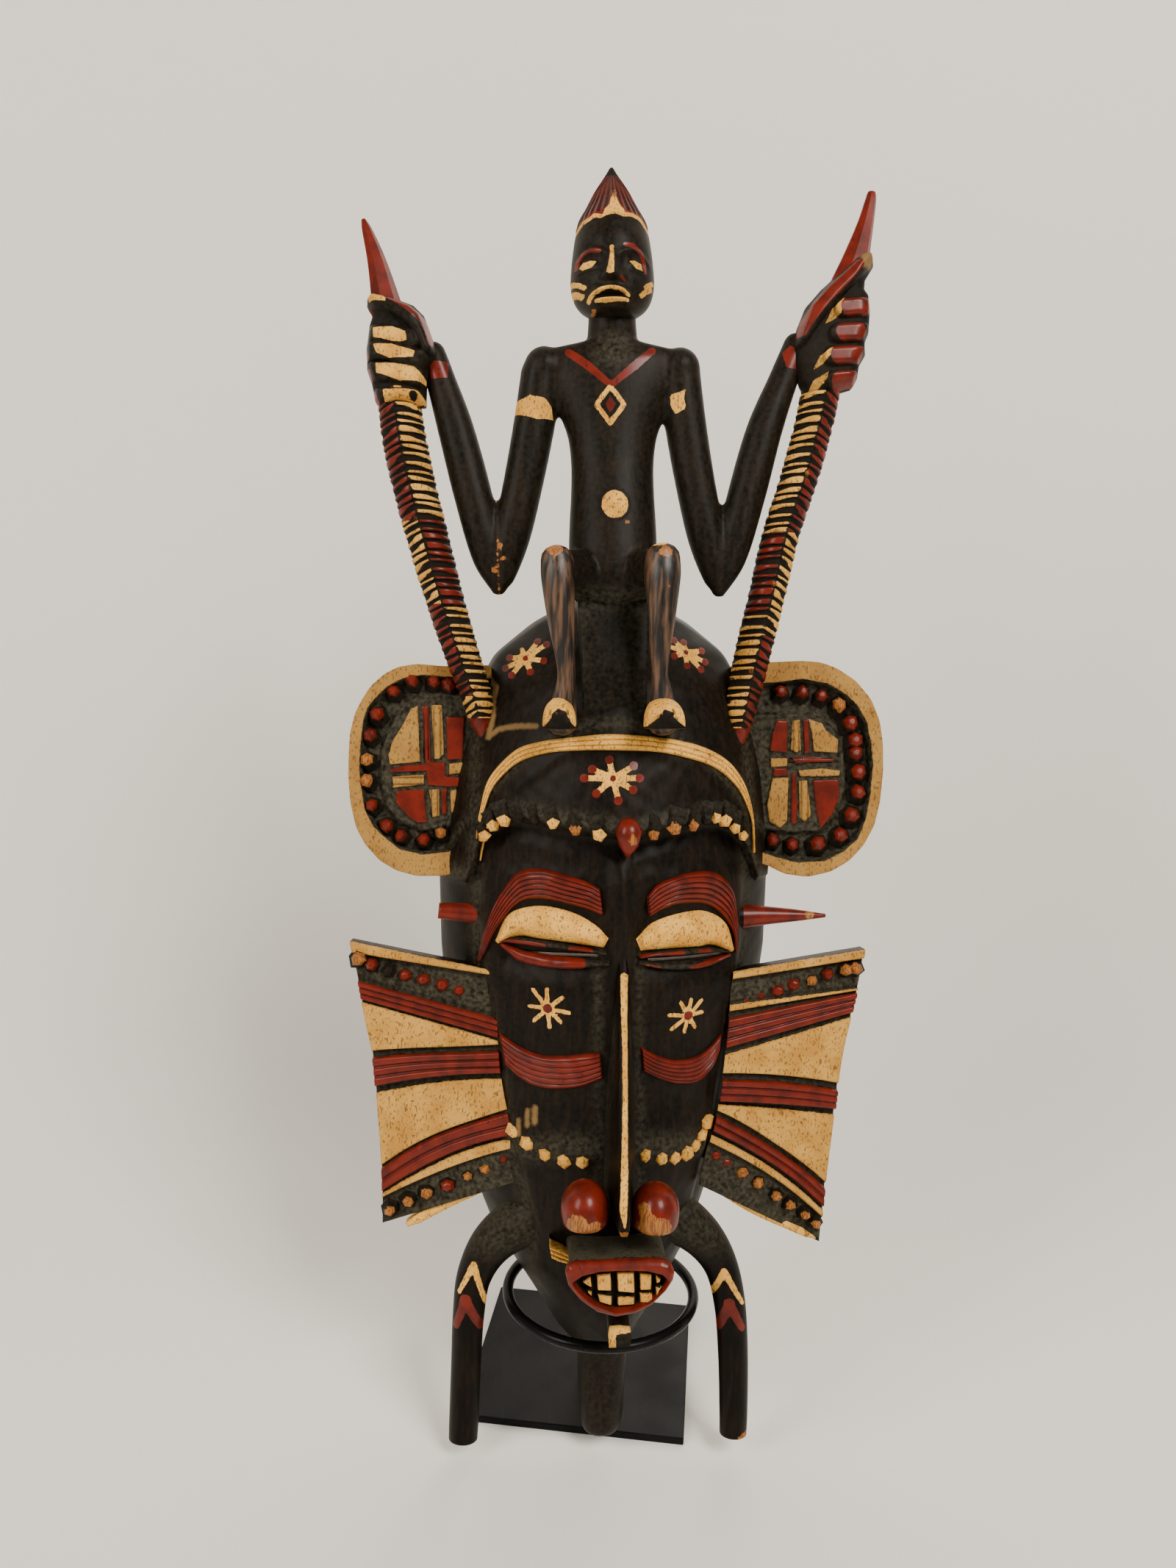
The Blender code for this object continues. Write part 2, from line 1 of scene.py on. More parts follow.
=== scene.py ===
"""The looks of a carved and painted kpeliye mask with a seated figure, in its black ring stand.

The carving is one piece of wood, so its painted surfaces are worked out in its own frame, in
millimetres: X to the viewer's right, Y to the back, Z up, and then set leaning in the stand.
"""

from math import cos, pi, radians, sin, tau

import bmesh
import bpy
import numpy as np
from mathutils import Matrix, Vector


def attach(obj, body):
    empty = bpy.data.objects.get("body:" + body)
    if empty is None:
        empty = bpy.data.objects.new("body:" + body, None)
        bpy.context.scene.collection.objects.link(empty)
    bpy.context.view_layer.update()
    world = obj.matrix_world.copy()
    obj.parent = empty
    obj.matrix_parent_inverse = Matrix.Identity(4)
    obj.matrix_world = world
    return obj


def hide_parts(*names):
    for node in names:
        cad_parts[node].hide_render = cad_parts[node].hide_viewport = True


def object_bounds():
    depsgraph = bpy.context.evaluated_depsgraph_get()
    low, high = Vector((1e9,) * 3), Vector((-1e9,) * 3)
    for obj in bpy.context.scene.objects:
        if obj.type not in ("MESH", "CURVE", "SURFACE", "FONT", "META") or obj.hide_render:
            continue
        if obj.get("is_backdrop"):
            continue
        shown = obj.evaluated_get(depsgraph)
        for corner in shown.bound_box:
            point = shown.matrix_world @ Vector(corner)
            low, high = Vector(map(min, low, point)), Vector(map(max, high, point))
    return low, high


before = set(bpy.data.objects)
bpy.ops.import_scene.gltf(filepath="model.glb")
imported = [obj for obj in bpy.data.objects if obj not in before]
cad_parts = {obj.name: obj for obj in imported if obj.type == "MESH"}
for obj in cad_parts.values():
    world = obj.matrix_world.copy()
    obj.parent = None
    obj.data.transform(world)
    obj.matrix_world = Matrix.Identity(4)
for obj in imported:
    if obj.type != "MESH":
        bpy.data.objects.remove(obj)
cad_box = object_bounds()
bpy.ops.object.select_all(action="DESELECT")


# The camera stands where the photograph was taken from: close, a little to the left of the mask,
# above its middle and tipped down, held with a slight roll.
CAMERA_PLACE = Vector((-0.0343, -0.6142, 0.4333))
CAMERA_YAW, CAMERA_PITCH, CAMERA_ROLL = radians(2.26), radians(9.05), radians(2.19)

ahead = Vector((sin(CAMERA_YAW) * cos(CAMERA_PITCH), cos(CAMERA_YAW) * cos(CAMERA_PITCH),
        -sin(CAMERA_PITCH)))
level = Vector((cos(CAMERA_YAW), -sin(CAMERA_YAW), 0))
down = ahead.cross(level)
right = level * cos(CAMERA_ROLL) - down * sin(CAMERA_ROLL)
up = -(level * sin(CAMERA_ROLL) + down * cos(CAMERA_ROLL))
lens = bpy.data.cameras.new("photo_lens")
lens.lens = 27.05
lens.sensor_width = 36
camera = bpy.data.objects.new("photo_camera", lens)
camera.matrix_world = Matrix.Translation(CAMERA_PLACE) @ Matrix((right, up, -ahead)).transposed().to_4x4()
bpy.context.scene.collection.objects.link(camera)
bpy.context.scene.camera = camera


# The paint: every surface of the carving is stained dark wood with brick red and cream paint laid
# on by hand. Attributes give how far inside each patch of paint a point lies, in millimetres.
PAINTS = ("red", "cream", "worn", "ochre")
BARE = -4.0
MM = 0.001
MASK_FOOT = Vector((0.0100, -0.0390, 0.0650))
SET_IN_STAND = Matrix.Translation(MASK_FOOT) @ Matrix.Rotation(radians(-2), 4,
    "Y") @ Matrix.Rotation(radians(-8), 4, "X")


def link(tree, source, target):
    tree.links.new(source, target)


def mix_colour(tree, mask, below, above):
    """Lays one colour over another by a mask. Either may be a socket or a plain colour."""
    mix = tree.nodes.new("ShaderNodeMix")
    mix.data_type = "RGBA"
    if isinstance(mask, float):
        mix.inputs[0].default_value = mask
    else:
        link(tree, mask, mix.inputs[0])
    for socket, value in ((mix.inputs[6], below), (mix.inputs[7], above)):
        if isinstance(value, tuple):
            socket.default_value = (*value, 1)
        else:
            link(tree, value, socket)
    return mix.outputs[2]


def maths(tree, operation, a, b=0.0, clamp=False):
    node = tree.nodes.new("ShaderNodeMath")
    node.operation = operation
    node.use_clamp = clamp
    for socket, value in ((node.inputs[0], a), (node.inputs[1], b)):
        if isinstance(value, (int, float)):
            socket.default_value = value
        else:
            link(tree, value, socket)
    return node.outputs[0]


def soft_step(tree, value, low, high):
    node = tree.nodes.new("ShaderNodeMapRange")
    node.interpolation_type = "SMOOTHSTEP"
    link(tree, value, node.inputs[0])
    node.inputs[1].default_value = low
    node.inputs[2].default_value = high
    return node.outputs[0]


def noise(tree, place, scale, detail=3.0, stretch=(1, 1, 1)):
    mapping = tree.nodes.new("ShaderNodeMapping")
    mapping.inputs["Scale"].default_value = stretch
    link(tree, place, mapping.inputs["Vector"])
    node = tree.nodes.new("ShaderNodeTexNoise")
    node.inputs["Scale"].default_value = scale
    node.inputs["Detail"].default_value = detail
    link(tree, mapping.outputs[0], node.inputs["Vector"])
    return node.outputs["Fac"]


def attribute(tree, name):
    node = tree.nodes.new("ShaderNodeAttribute")
    node.attribute_name = name
    return node.outputs["Fac"]


def painted_wood_group():
    """Stained wood, the two paints, orange bare wood where they are worn, dust and painted shade in the
    hollows.
    """
    tree = bpy.data.node_groups.new("painted_wood", "ShaderNodeTree")
    for name, kind, default in (("Brownness", "NodeSocketFloat", 0.0), ("Dust", "NodeSocketFloat", 0.5)):
        socket = tree.interface.new_socket(name, in_out="INPUT", socket_type=kind)
        socket.default_value = default
    for name, kind in (("Colour", "NodeSocketColor"), ("Roughness", "NodeSocketFloat"),
                       ("Varnish", "NodeSocketFloat"), ("Height", "NodeSocketFloat")):
        tree.interface.new_socket(name, in_out="OUTPUT", socket_type=kind)
    given = tree.nodes.new("NodeGroupInput")
    result = tree.nodes.new("NodeGroupOutput")
    place = tree.nodes.new("ShaderNodeTexCoord").outputs["Object"]

    streak = noise(tree, place, 420, 4, (1, 1, 0.12))
    blotch = noise(tree, place, 28, 3)
    fine = noise(tree, place, 2300, 2)
    ragged = maths(tree, "SUBTRACT", noise(tree, place, 520, 4), 0.5)
    hollow = attribute(tree, "hollow")
    dust = attribute(tree, "dust")

    # The stained wood: near black, browner where it is rubbed, with grey-green dust in the carving.
    brown = maths(tree, "MULTIPLY", soft_step(tree, streak, 0.40, 0.68), given.outputs["Brownness"])
    wood = mix_colour(tree, soft_step(tree, blotch, 0.35, 0.7), (0.0022, 0.0014, 0.0008),
        (0.0055, 0.0034, 0.0019))
    wood = mix_colour(tree, brown, wood, (0.125, 0.060, 0.028))
    cloud = soft_step(tree, noise(tree, place, 480, 8), 0.22, 0.80)
    dusty = maths(tree, "MULTIPLY", dust, cloud)
    dusty = maths(tree, "MULTIPLY", dusty, given.outputs["Dust"], clamp=True)
    wood = mix_colour(tree, dusty, wood, (0.062, 0.056, 0.036))

    # Each paint's edge is as ragged as a brush leaves it.
    def inside(name, rough, sharp):
        edge = maths(tree, "ADD", attribute(tree, name), maths(tree, "MULTIPLY", ragged, rough))
        return soft_step(tree, edge, -sharp, sharp)

    pinholes = soft_step(tree, noise(tree, place, 1100, 2, (1, 1, 0.5)), 0.55, 0.66)
    large_pits = soft_step(tree, noise(tree, place, 330, 1, (1, 1, 0.6)), 0.71, 0.75)
    pits = maths(tree, "MAXIMUM", pinholes, large_pits)
    cream = mix_colour(tree, soft_step(tree, noise(tree, place, 75, 3), 0.35, 0.68), (0.95, 0.50, 0.100),
        (0.70, 0.33, 0.052))
    # Cream is browned where the dust attribute is high, most on the ears and fans: partly dust, partly
    # painted shade that keeps them duller than the lids.
    cream = mix_colour(tree, maths(tree, "MULTIPLY", dust, 0.56, clamp=True), cream, (0.17, 0.095, 0.036))
    cream = mix_colour(tree, maths(tree, "MULTIPLY", pits, 0.7), cream, (0.10, 0.042, 0.012))
    red = mix_colour(tree, soft_step(tree, noise(tree, place, 130, 4), 0.35, 0.7), (0.165, 0.0130, 0.0050),
        (0.088, 0.0082, 0.0036))
    red = mix_colour(tree, maths(tree, "MULTIPLY", large_pits, 0.6), red, (0.04, 0.008, 0.005))
    bare = mix_colour(tree, soft_step(tree, noise(tree, place, 1300, 2, (1, 1, 0.12)), 0.42, 0.6),
        (0.40, 0.155, 0.036), (0.20, 0.068, 0.018))
    ochre = mix_colour(tree, soft_step(tree, blotch, 0.3, 0.7), (0.31, 0.185, 0.068), (0.24, 0.14, 0.05))

    in_cream, in_red = inside("cream", 0.9, 0.12), inside("red", 0.8, 0.12)
    in_bare = inside("worn", 3.4, 0.25)
    colour = mix_colour(tree, maths(tree, "MULTIPLY", inside("ochre", 1.6, 0.9), 0.75), wood, ochre)
    colour = mix_colour(tree, in_cream, colour, cream)
    colour = mix_colour(tree, in_red, colour, red)
    colour = mix_colour(tree, in_bare, colour, bare)
    # Painted shade: where the hollow attribute is high, in grooves, gaps and recesses, the colour is
    # darkened towards near black.
    painted_shade = maths(tree, "MULTIPLY", hollow, maths(tree, "ADD", maths(tree, "MULTIPLY", cloud, 0.25), 0.75),
        clamp=True)
    colour = mix_colour(tree, painted_shade, colour, (0.0075, 0.0055, 0.0038))
    link(tree, colour, result.inputs["Colour"])
    link(tree, maths(tree, "MULTIPLY", in_red, 0.28), result.inputs["Varnish"])

    shine = maths(tree, "ADD", maths(tree, "MULTIPLY", in_cream, 0.18), 0.43)
    shine = maths(tree, "ADD", shine, maths(tree, "MULTIPLY", maths(tree, "SUBTRACT", streak, 0.5), 0.22))
    shine = maths(tree, "ADD", shine, maths(tree, "MULTIPLY", maths(tree, "ADD", dusty, hollow), 0.35),
        clamp=True)
    link(tree, shine, result.inputs["Roughness"])
    relief = maths(tree, "ADD", maths(tree, "MULTIPLY", streak, 0.55), maths(tree, "MULTIPLY", fine, 0.25))
    relief = maths(tree, "ADD", relief, maths(tree, "MULTIPLY", maths(tree, "MAXIMUM", in_cream, in_red),
            0.35))
    relief = maths(tree, "SUBTRACT", relief, maths(tree, "MULTIPLY",
            maths(tree, "MULTIPLY", pits, in_cream), 0.4))
    link(tree, relief, result.inputs["Height"])
    return tree


painted_wood = painted_wood_group()


def carved_finish(name, brownness, dust, gloss):
    material = bpy.data.materials.new(name)
    material.use_nodes = True
    tree = material.node_tree
    shader = tree.nodes["Principled BSDF"]
    shader.inputs["Specular IOR Level"].default_value = gloss
    wood = tree.nodes.new("ShaderNodeGroup")
    wood.node_tree = painted_wood
    wood.inputs["Brownness"].default_value = brownness
    wood.inputs["Dust"].default_value = dust
    bump = tree.nodes.new("ShaderNodeBump")
    bump.inputs["Strength"].default_value = 0.45
    bump.inputs["Distance"].default_value = 0.0004
    link(tree, wood.outputs["Colour"], shader.inputs["Base Color"])
    link(tree, wood.outputs["Roughness"], shader.inputs["Roughness"])
    link(tree, wood.outputs["Varnish"], shader.inputs["Coat Weight"])
    shader.inputs["Coat Roughness"].default_value = 0.22
    link(tree, wood.outputs["Height"], bump.inputs["Height"])
    link(tree, bump.outputs["Normal"], shader.inputs["Normal"])
    return material


carved_wood = carved_finish("carved_wood_painted", 0.06, 0.9, 0.10)


# How a patch of paint lies on the carving, seen from the front: each gives the distance inside it.
def spot(points, x, z, radius, tall=1.0):
    return radius - np.hypot(points[:, 0] - x, (points[:, 2] - z) / tall)


def stroke(points, path, half_width):
    """A brush stroke along a path of (x, z)."""
    flat = points[:, [0, 2]]
    nearest = np.full(len(flat), 1e9)
    path = np.array(path, float)
    halves = np.broadcast_to(np.array(half_width, float), (len(path),))
    for start, end, half_a, half_b in zip(path, path[1:], halves, halves[1:]):
        along = end - start
        share = np.clip(((flat - start) @ along) / max(along @ along, 1e-9), 0, 1)
        gap = np.hypot(*(flat - start - share[:, None] * along).T)
        nearest = np.minimum(nearest, gap - (half_a + (half_b - half_a) * share))
    return -nearest


def patch(points, outline):
    """The inside of a closed outline of (x, z)."""
    flat = points[:, [0, 2]]
    outline = np.array(outline, float)
    edge = -stroke(points, np.vstack([outline, outline[:1]]), 0.0)
    within = np.zeros(len(flat), bool)
    for (x0, z0), (x1, z1) in zip(outline, np.roll(outline, -1, axis=0)):
        crosses = (z0 > flat[:, 1]) != (z1 > flat[:, 1])
        with np.errstate(divide="ignore", invalid="ignore"):
            at = x0 + (flat[:, 1] - z0) * (x1 - x0) / (z1 - z0)
        within ^= crosses & (flat[:, 0] < at)
    return np.where(within, edge, -edge)


def any_of(*inside):
    return np.maximum.reduce(inside)


def only(*inside):
    return np.minimum.reduce(inside)


def star(points, centre, tips, root, tip):
    """A painted star: one stroke from the centre to each tip."""
    return any_of(*(stroke(points, [centre, end], [root, tip]) for end in tips))


def curve_through(points, count):
    """A smooth run through the given points, evenly shared between them."""
    points = np.array(points, float)
    if points.ndim == 1:
        points = points[:, None]
    ends = np.vstack([2 * points[0] - points[1], points, 2 * points[-1] - points[-2]])
    place = np.linspace(0, len(points) - 1, count)
    span = np.minimum(place.astype(int), len(points) - 2)
    t = (place - span)[:, None]
    a, b, c, d = (ends[span + k] for k in range(4))
    return 0.5 * (2 * b + (c - a) * t + (2 * a - 5 * b + 4 * c - d) * t**2 + (3 * b - a - 3 * c + d) * t**3)


def closed_forms(name, patches):
    """A mesh of closed runs of rings: each of patches is an array (rings, points round, 3)."""
    points, faces = [], []
    for rings in patches:
        rings = np.asarray(rings, float)
        count, around = rings.shape[:2]
        first = sum(len(block) for block in points)
        index = first + np.arange(count * around).reshape(count, around)
        along = np.roll(index, -1, axis=1)
        walls = np.stack([index[:-1], along[:-1], along[1:], index[1:]], axis=-1).reshape(-1, 4)
        faces.extend(map(tuple, walls.tolist()))
        points.append(rings.reshape(-1, 3))
        for ring, row in ((0, index[0]), (-1, index[-1])):
            middle = first + count * around + (0 if ring == 0 else 1)
            turned = np.roll(row, -1)
            pairs = zip(turned.tolist(), row.tolist()) if ring == 0 else zip(row.tolist(), turned.tolist())
            faces.extend((a, b, middle) for a, b in pairs)
        points.append(np.array([rings[0].mean(axis=0), rings[-1].mean(axis=0)]))
    mesh = bpy.data.meshes.new(name)
    mesh.from_pydata(np.vstack(points).tolist(), [], faces)
    return mesh


def painted(name, mesh, finish, coats, flat=False):
    """Paints a mesh, sets it in the stand and hands it over. A coat is a function of the points, an array or a number."""
    points = np.empty(len(mesh.vertices) * 3)
    mesh.vertices.foreach_get("co", points)
    points = points.reshape(-1, 3)
    for coat in (*PAINTS, "hollow", "dust"):
        value = coats.get(coat, BARE if coat in PAINTS else 0.0)
        value = value(points) if callable(value) else np.broadcast_to(np.asarray(value, float),
            (len(points),))
        layer = mesh.attributes.new(coat, "FLOAT", "POINT")
        layer.data.foreach_set("value", np.ascontiguousarray(np.clip(value, BARE, 4), np.float32))
    form = bmesh.new()
    form.from_mesh(mesh)
    bmesh.ops.remove_doubles(form, verts=form.verts, dist=1e-4)
    bmesh.ops.dissolve_degenerate(form, edges=form.edges, dist=1e-5)
    bmesh.ops.recalc_face_normals(form, faces=form.faces)
    form.to_mesh(mesh)
    form.free()
    mesh.transform(SET_IN_STAND @ Matrix.Scale(MM, 4))
    if not flat:
        mesh.shade_smooth()
    mesh.materials.append(finish or carved_wood)
    piece = bpy.data.objects.new(name, mesh)
    bpy.context.scene.collection.objects.link(piece)
    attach(piece, "root")
    return piece


def skin(name, patches, finish=None, flat=False, **coats):
    return painted(name, closed_forms(name, patches), finish, coats, flat)


def run_together(name, patches, voxel, rounds, **coats):
    """Forms that run into one another, as they do where one block of wood is cut down to them."""
    rough = bpy.data.objects.new(name + "_rough", closed_forms(name + "_rough", patches))
    bpy.context.scene.collection.objects.link(rough)
    join = rough.modifiers.new("join", "REMESH")
    join.mode = "VOXEL"
    join.voxel_size = voxel
    soften = rough.modifiers.new("soften", "SMOOTH")
    soften.factor, soften.iterations = 0.5, rounds
    mesh = bpy.data.meshes.new_from_object(rough.evaluated_get(bpy.context.evaluated_depsgraph_get()))
    mesh.name = name
    bpy.data.objects.remove(rough)
    mesh.materials.clear()
    return painted(name, mesh, None, coats)


def tube(path, radii, sides=24, flatten=1.0, count=None, facing=(0, -1, 0), round_ends=0.0):
    """Rings along a smoothed path; flatten thins them along the facing direction."""
    count = count or 6 * len(path)
    centres = curve_through(path, count)
    radii = curve_through(radii, count)[:, 0]
    ahead = np.gradient(centres, axis=0)
    ahead /= np.linalg.norm(ahead, axis=1)[:, None]
    across = np.cross(ahead, np.array(facing, float))
    across /= np.linalg.norm(across, axis=1)[:, None]
    outward = np.cross(across, ahead)
    turn = np.arange(sides) * tau / sides
    ring = (across[:, None] * np.cos(turn)[None, :, None]
            + outward[:, None] * flatten * np.sin(turn)[None, :, None])
    rings = centres[:, None] + ring * radii[:, None, None]
    if round_ends:
        steps = np.array([0.92, 0.7, 0.38])
        lift = np.sqrt(1 - steps**2) * round_ends
        start = [centres[0] - ahead[0] * radii[0] * up + ring[0] * radii[0] * size for up,
            size in zip(lift[::-1], steps[::-1])]
        end = [centres[-1] + ahead[-1] * radii[-1] * up + ring[-1] * radii[-1] * size for up,
            size in zip(lift, steps)]
        rings = np.concatenate([np.array(start), rings, np.array(end)])
    return rings


def ball(centre, radii, sides=32, rows=18):
    """A rounded lump as rings from its foot to its top."""
    rise = np.linspace(-pi / 2 + 0.08, pi / 2 - 0.08, rows)[:, None]
    turn = (np.arange(sides) * tau / sides)[None]
    return np.stack(
        [centre[0] + radii[0] * np.cos(rise) * np.cos(turn),
            centre[1] + radii[1] * np.cos(rise) * np.sin(turn),
         centre[2] + radii[2] * np.sin(rise) * np.ones_like(turn)], axis=-1,
    )


# The shell: the face, the forehead and the skull cap are one hollow bow, cut with an adze, thick
# enough to hold the carving, and open at the back so that it can be worn.
SHELL_PROFILE = np.array((
    (-24, 11, 4, 30), (-8, 29, 13, 40), (15, 43, 29, 50), (40, 60, 43, 56), (60, 68, 50, 58),
        (100, 76, 64, 58),
    (150, 84, 76, 59), (190, 88, 82, 62), (236, 89, 84, 66), (243, 88, 84, 66), (256, 86, 83, 69),
        (280, 82, 81, 66),
    (300, 77, 77, 61), (322, 70, 71, 52), (342, 60, 61, 38), (360, 38, 40, 20), (371, 15, 17, 4),
), float)
BOW_POWER = 1.7
SHELL_WALL = 9
BROW_STEP = 8
BROW_EDGE = np.array(((-72, 226), (-68, 236), (-65, 246), (-60, 253), (-52, 257), (-45, 258), (-37, 256.5),
        (-29, 255), (-19, 253), (-8, 251.5), (0, 250.5), (6, 249.5), (12, 250.5),
                      (17, 252), (27, 254), (37, 255), (45, 256.5), (53, 255.5), (60, 251.5), (66, 244),
        (70, 236), (74, 226)))
HOLLOW_FLOOR, HOLLOW_ROOF = 34, 356

fine_heights = np.arange(-24, 371.5, 0.5)
smoothing = np.hanning(27) / np.hanning(27).sum()
smooth_profile = np.array([
    np.convolve(np.pad(np.interp(fine_heights, SHELL_PROFILE[:, 0], SHELL_PROFILE[:, k]), 13,
                mode="reflect", reflect_type="odd"),
                smoothing, mode="valid")
    for k in (1, 2, 3)
])


def ease(value):
    value = np.clip(value, 0, 1)
    return value * value * (3 - 2 * value)


def profile_at(z):
    return tuple(np.interp(z, fine_heights, row) for row in smooth_profile)


def above_brow(x, z):
    """How far above the brow's overhanging edge a point is."""
    return z - np.interp(x, BROW_EDGE[:, 0], BROW_EDGE[:, 1])


def bow(share, depth):
    return depth * (1 - np.minimum(np.abs(share), 1) ** BOW_POWER) ** (1 / BOW_POWER)


def face_relief(x, z):
    """How far the face stands out of the plain bow: its plate, the brow's hollows and the jaw's step."""
    edge = np.interp(z, (-20, 60, 97, 196, 236, 300), (24, 40, 50, 66, 67, 72))
    plate = 2.2 * ease((edge - np.abs(x)) / 3) * ease((z - 40) / 20) * ease((238 - z) / 12)
    socket = -4.0 * ease((z - 176) / 16) * ease((232 - z) / 20) * ease((np.abs(x - 2) - 3)
        / 12) * ease((60 - np.abs(x)) / 10)
    ridge = 2.5 * ease(1 - np.abs(x - 3) / 9) * ease((z - 190) / 20) * ease((244 - z) / 10)
    jaw = 2.5 * ease((z - 92 + 0.0026 * x * x) / 5) * ease((122 - z) / 22)
    above = above_brow(x, z)
    overhang = BROW_STEP * ease((above + 1.2) / 3.2) - 2.4 * ease((above + 13) / 9) * ease((1 - above)
        / 4) * ease((64 - np.abs(x)) / 6) * (np.abs(x - 6) > 2)
    band = -1.4 * ease((above - 3) / 6) * ease((296 - 0.0095 * x * x - z) / 8) * ease((66 - np.abs(x)) / 6)
    adze = 0.16 * np.sin(x * 0.55 + 1.3 * np.sin(z * 0.21)) * np.sin(z * 0.47 + 0.8 * np.sin(x * 0.3))
    return plate + socket + ridge + jaw + band + overhang + adze


def front(x, z):
    """The Y of the shell's front."""
    left, right, depth = profile_at(z)
    reach = np.where(np.asarray(x) < 0, left, right)
    return -bow(np.minimum(np.abs(x) / reach, 0.985), depth) - face_relief(x, z)


def within_wall(rings):
    """Keeps what is rooted in the shell out of its hollow: such points are drawn forward into the wall."""
    rings = np.array(rings, float)
    x, y, z = rings[..., 0], rings[..., 1], rings[..., 2]
    left, right, _ = profile_at(z)
    rooted = (np.abs(x) < np.where(x < 0, left, right) - 4) & (z > HOLLOW_FLOOR - 4) & (z < HOLLOW_ROOF + 2)
    rings[..., 1] = np.where(rooted, np.minimum(y, front(x, z) + 5), y)
    return rings


def shell_rings():
    heights = np.concatenate([np.arange(-24, 371.1, 1.25), [371]])
    heights = np.sort(np.concatenate([heights, [HOLLOW_FLOOR, HOLLOW_FLOOR + 0.2, HOLLOW_ROOF - 0.2,
                    HOLLOW_ROOF]]))
    turn = np.linspace(0, pi, 221)
    inner_turn = np.linspace(pi, 0, 41)
    power = 2 / BOW_POWER
    rings = []
    for z in heights:
        left, right, depth = profile_at(z)
        reach = np.where(np.cos(turn) > 0, left, right)
        x = -reach * np.abs(np.cos(turn)) ** power * np.sign(np.cos(turn))
        y = -depth * np.sin(turn) ** power
        y = y - face_relief(x, z) * ease(-y / 12)
        outer = np.stack([x, y, np.full_like(x, z)], axis=-1)
        open_share = 1.0 if HOLLOW_FLOOR < z < HOLLOW_ROOF else 0.0
        reach = np.where(np.cos(inner_turn) > 0, left, right) - SHELL_WALL
        x = -reach * np.abs(np.cos(inner_turn)) ** power * np.sign(np.cos(inner_turn))
        y = 2 - (depth - SHELL_WALL + 2) * np.sin(inner_turn) ** power * open_share
        inner = np.stack([x, y, np.full_like(x, z)], axis=-1)
        rims = [(outer[0, 0], 2, z)], [(outer[-1, 0], 2, z)]
        rings.append(np.vstack([rims[0], outer, rims[1], inner]))
    return np.array(rings)


FOREHEAD_STAR = (-1.4, 277.7)
FOREHEAD_TIPS = ((-3.0, 286.4), (8.4, 283.6), (11.2, 277.9), (8.0, 272.4), (1.0, 267.4), (-9.2, 270.7),
    (-14.7, 277.9), (-11.0, 282.1))
CHEEK_STARS = (
    ((-32.2, 166.7), ((-39.2, 175.5), (-32.5, 176.3), (-25.1, 172.5), (-21.9, 165.2), (-25.8, 160.4),
            (-31.3, 157.6), (-38.8, 160.2), (-41.0, 167.3))),
    ((36.3, 161.9), ((32.2, 168.9), (37.6, 169.9), (43.1, 168.6), (43.6, 162.8), (39.9, 155.6),
            (34.3, 154.1), (27.7, 156.0), (26.4, 163.2))),
)
DOME_STARS = (
    ((-42.8, 336.9), ((-36.7, 345.5), (-32.3, 343.7), (-33.7, 335.1), (-40.2, 329.6), (-49.6, 328.4),
            (-52.9, 332.3), (-50.9, 337.8), (-44.6, 341.7))),
    ((36.8, 339.7), ((31.3, 346.0), (36.3, 345.1), (45.7, 341.1), (46.9, 335.2), (44.1, 331.1),
            (36.8, 332.7), (30.7, 337.4), (30.0, 341.9))),
)
DUST_LINE = ((-60.5, 326.7), (-57.3, 322.6), (-59.1, 316.1), (-58.9, 306.9), (-61.0, 297.7), (-56.0, 301.4),
    (-47.7, 302.8), (-37.5, 302.7))


def in_front(points, inside):
    return np.where(points[:, 1] < -20, inside, BARE)


def on_face(points, inside):
    return np.where(points[:, 1] < front(points[:, 0], points[:, 2]) + 4, inside, BARE)


def shell_cream(points):
    stars = [star(points, FOREHEAD_STAR, FOREHEAD_TIPS, 1.6, 1.25)]
    stars += [star(points, centre, tips, 1.0, 0.95) for centre, tips in CHEEK_STARS]
    stars += [star(points, centre, tips, 1.5, 1.15) for centre, tips in DOME_STARS]
    return on_face(points, any_of(*stars))


def shell_red(points):
    dots = [spot(points, *FOREHEAD_STAR, 1.5)] + [spot(points, *tip, 2.1) for tip in FOREHEAD_TIPS]
    dots += [spot(points, *centre, 2.3) for centre, tips in CHEEK_STARS]
    for centre, tips in DOME_STARS:
        dots += [spot(points, *centre, 1.4)] + [spot(points, *tip, 1.9) for tip in tips[:7]]
    return on_face(points, any_of(*dots))


def shell_dust(points):
    x, z = points[:, 0], points[:, 2]
    near_nubs = ease(1 - np.abs(above_brow(x, z) - 4.5) / 8)
    near_jaw = ease(1 - np.abs(z - 101 + 0.003 * x * x) / 12)
    near_band = ease(1 - np.abs(z - 304 + 0.009 * x * x) / 7)
    edge = np.interp(z, (60, 97, 196, 236), (40, 50, 66, 67))
    beside_face = ease(1 - np.abs(np.abs(x) - edge - 1) / 7)
    by_nose = 0.6 * ease(1 - np.abs(np.abs(x - 2) - 10) / 5) * (z > 70) * (z < 200)
    worn_in = np.maximum.reduce([near_nubs, near_jaw, 0.8 * near_band, 0.8 * beside_face, by_nose])
    return np.where(on_face(points, 1.0) > 0, 0.10 + 0.95 * worn_in, 0.10)


shell = skin(
    "mask_shell", [shell_rings()], red=shell_red, cream=shell_cream, dust=shell_dust,
    ochre=lambda p: on_face(p, any_of(stroke(p, DUST_LINE, 1.3),
            stroke(p, [(-46.5, 110), (-46.6, 103)], 0.9), stroke(p, [(-42.0, 115), (-42.4, 108)], 1.1),
            stroke(p, [(-38.4, 117), (-38.8, 110)], 1.3))),
)
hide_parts("mask_carving")

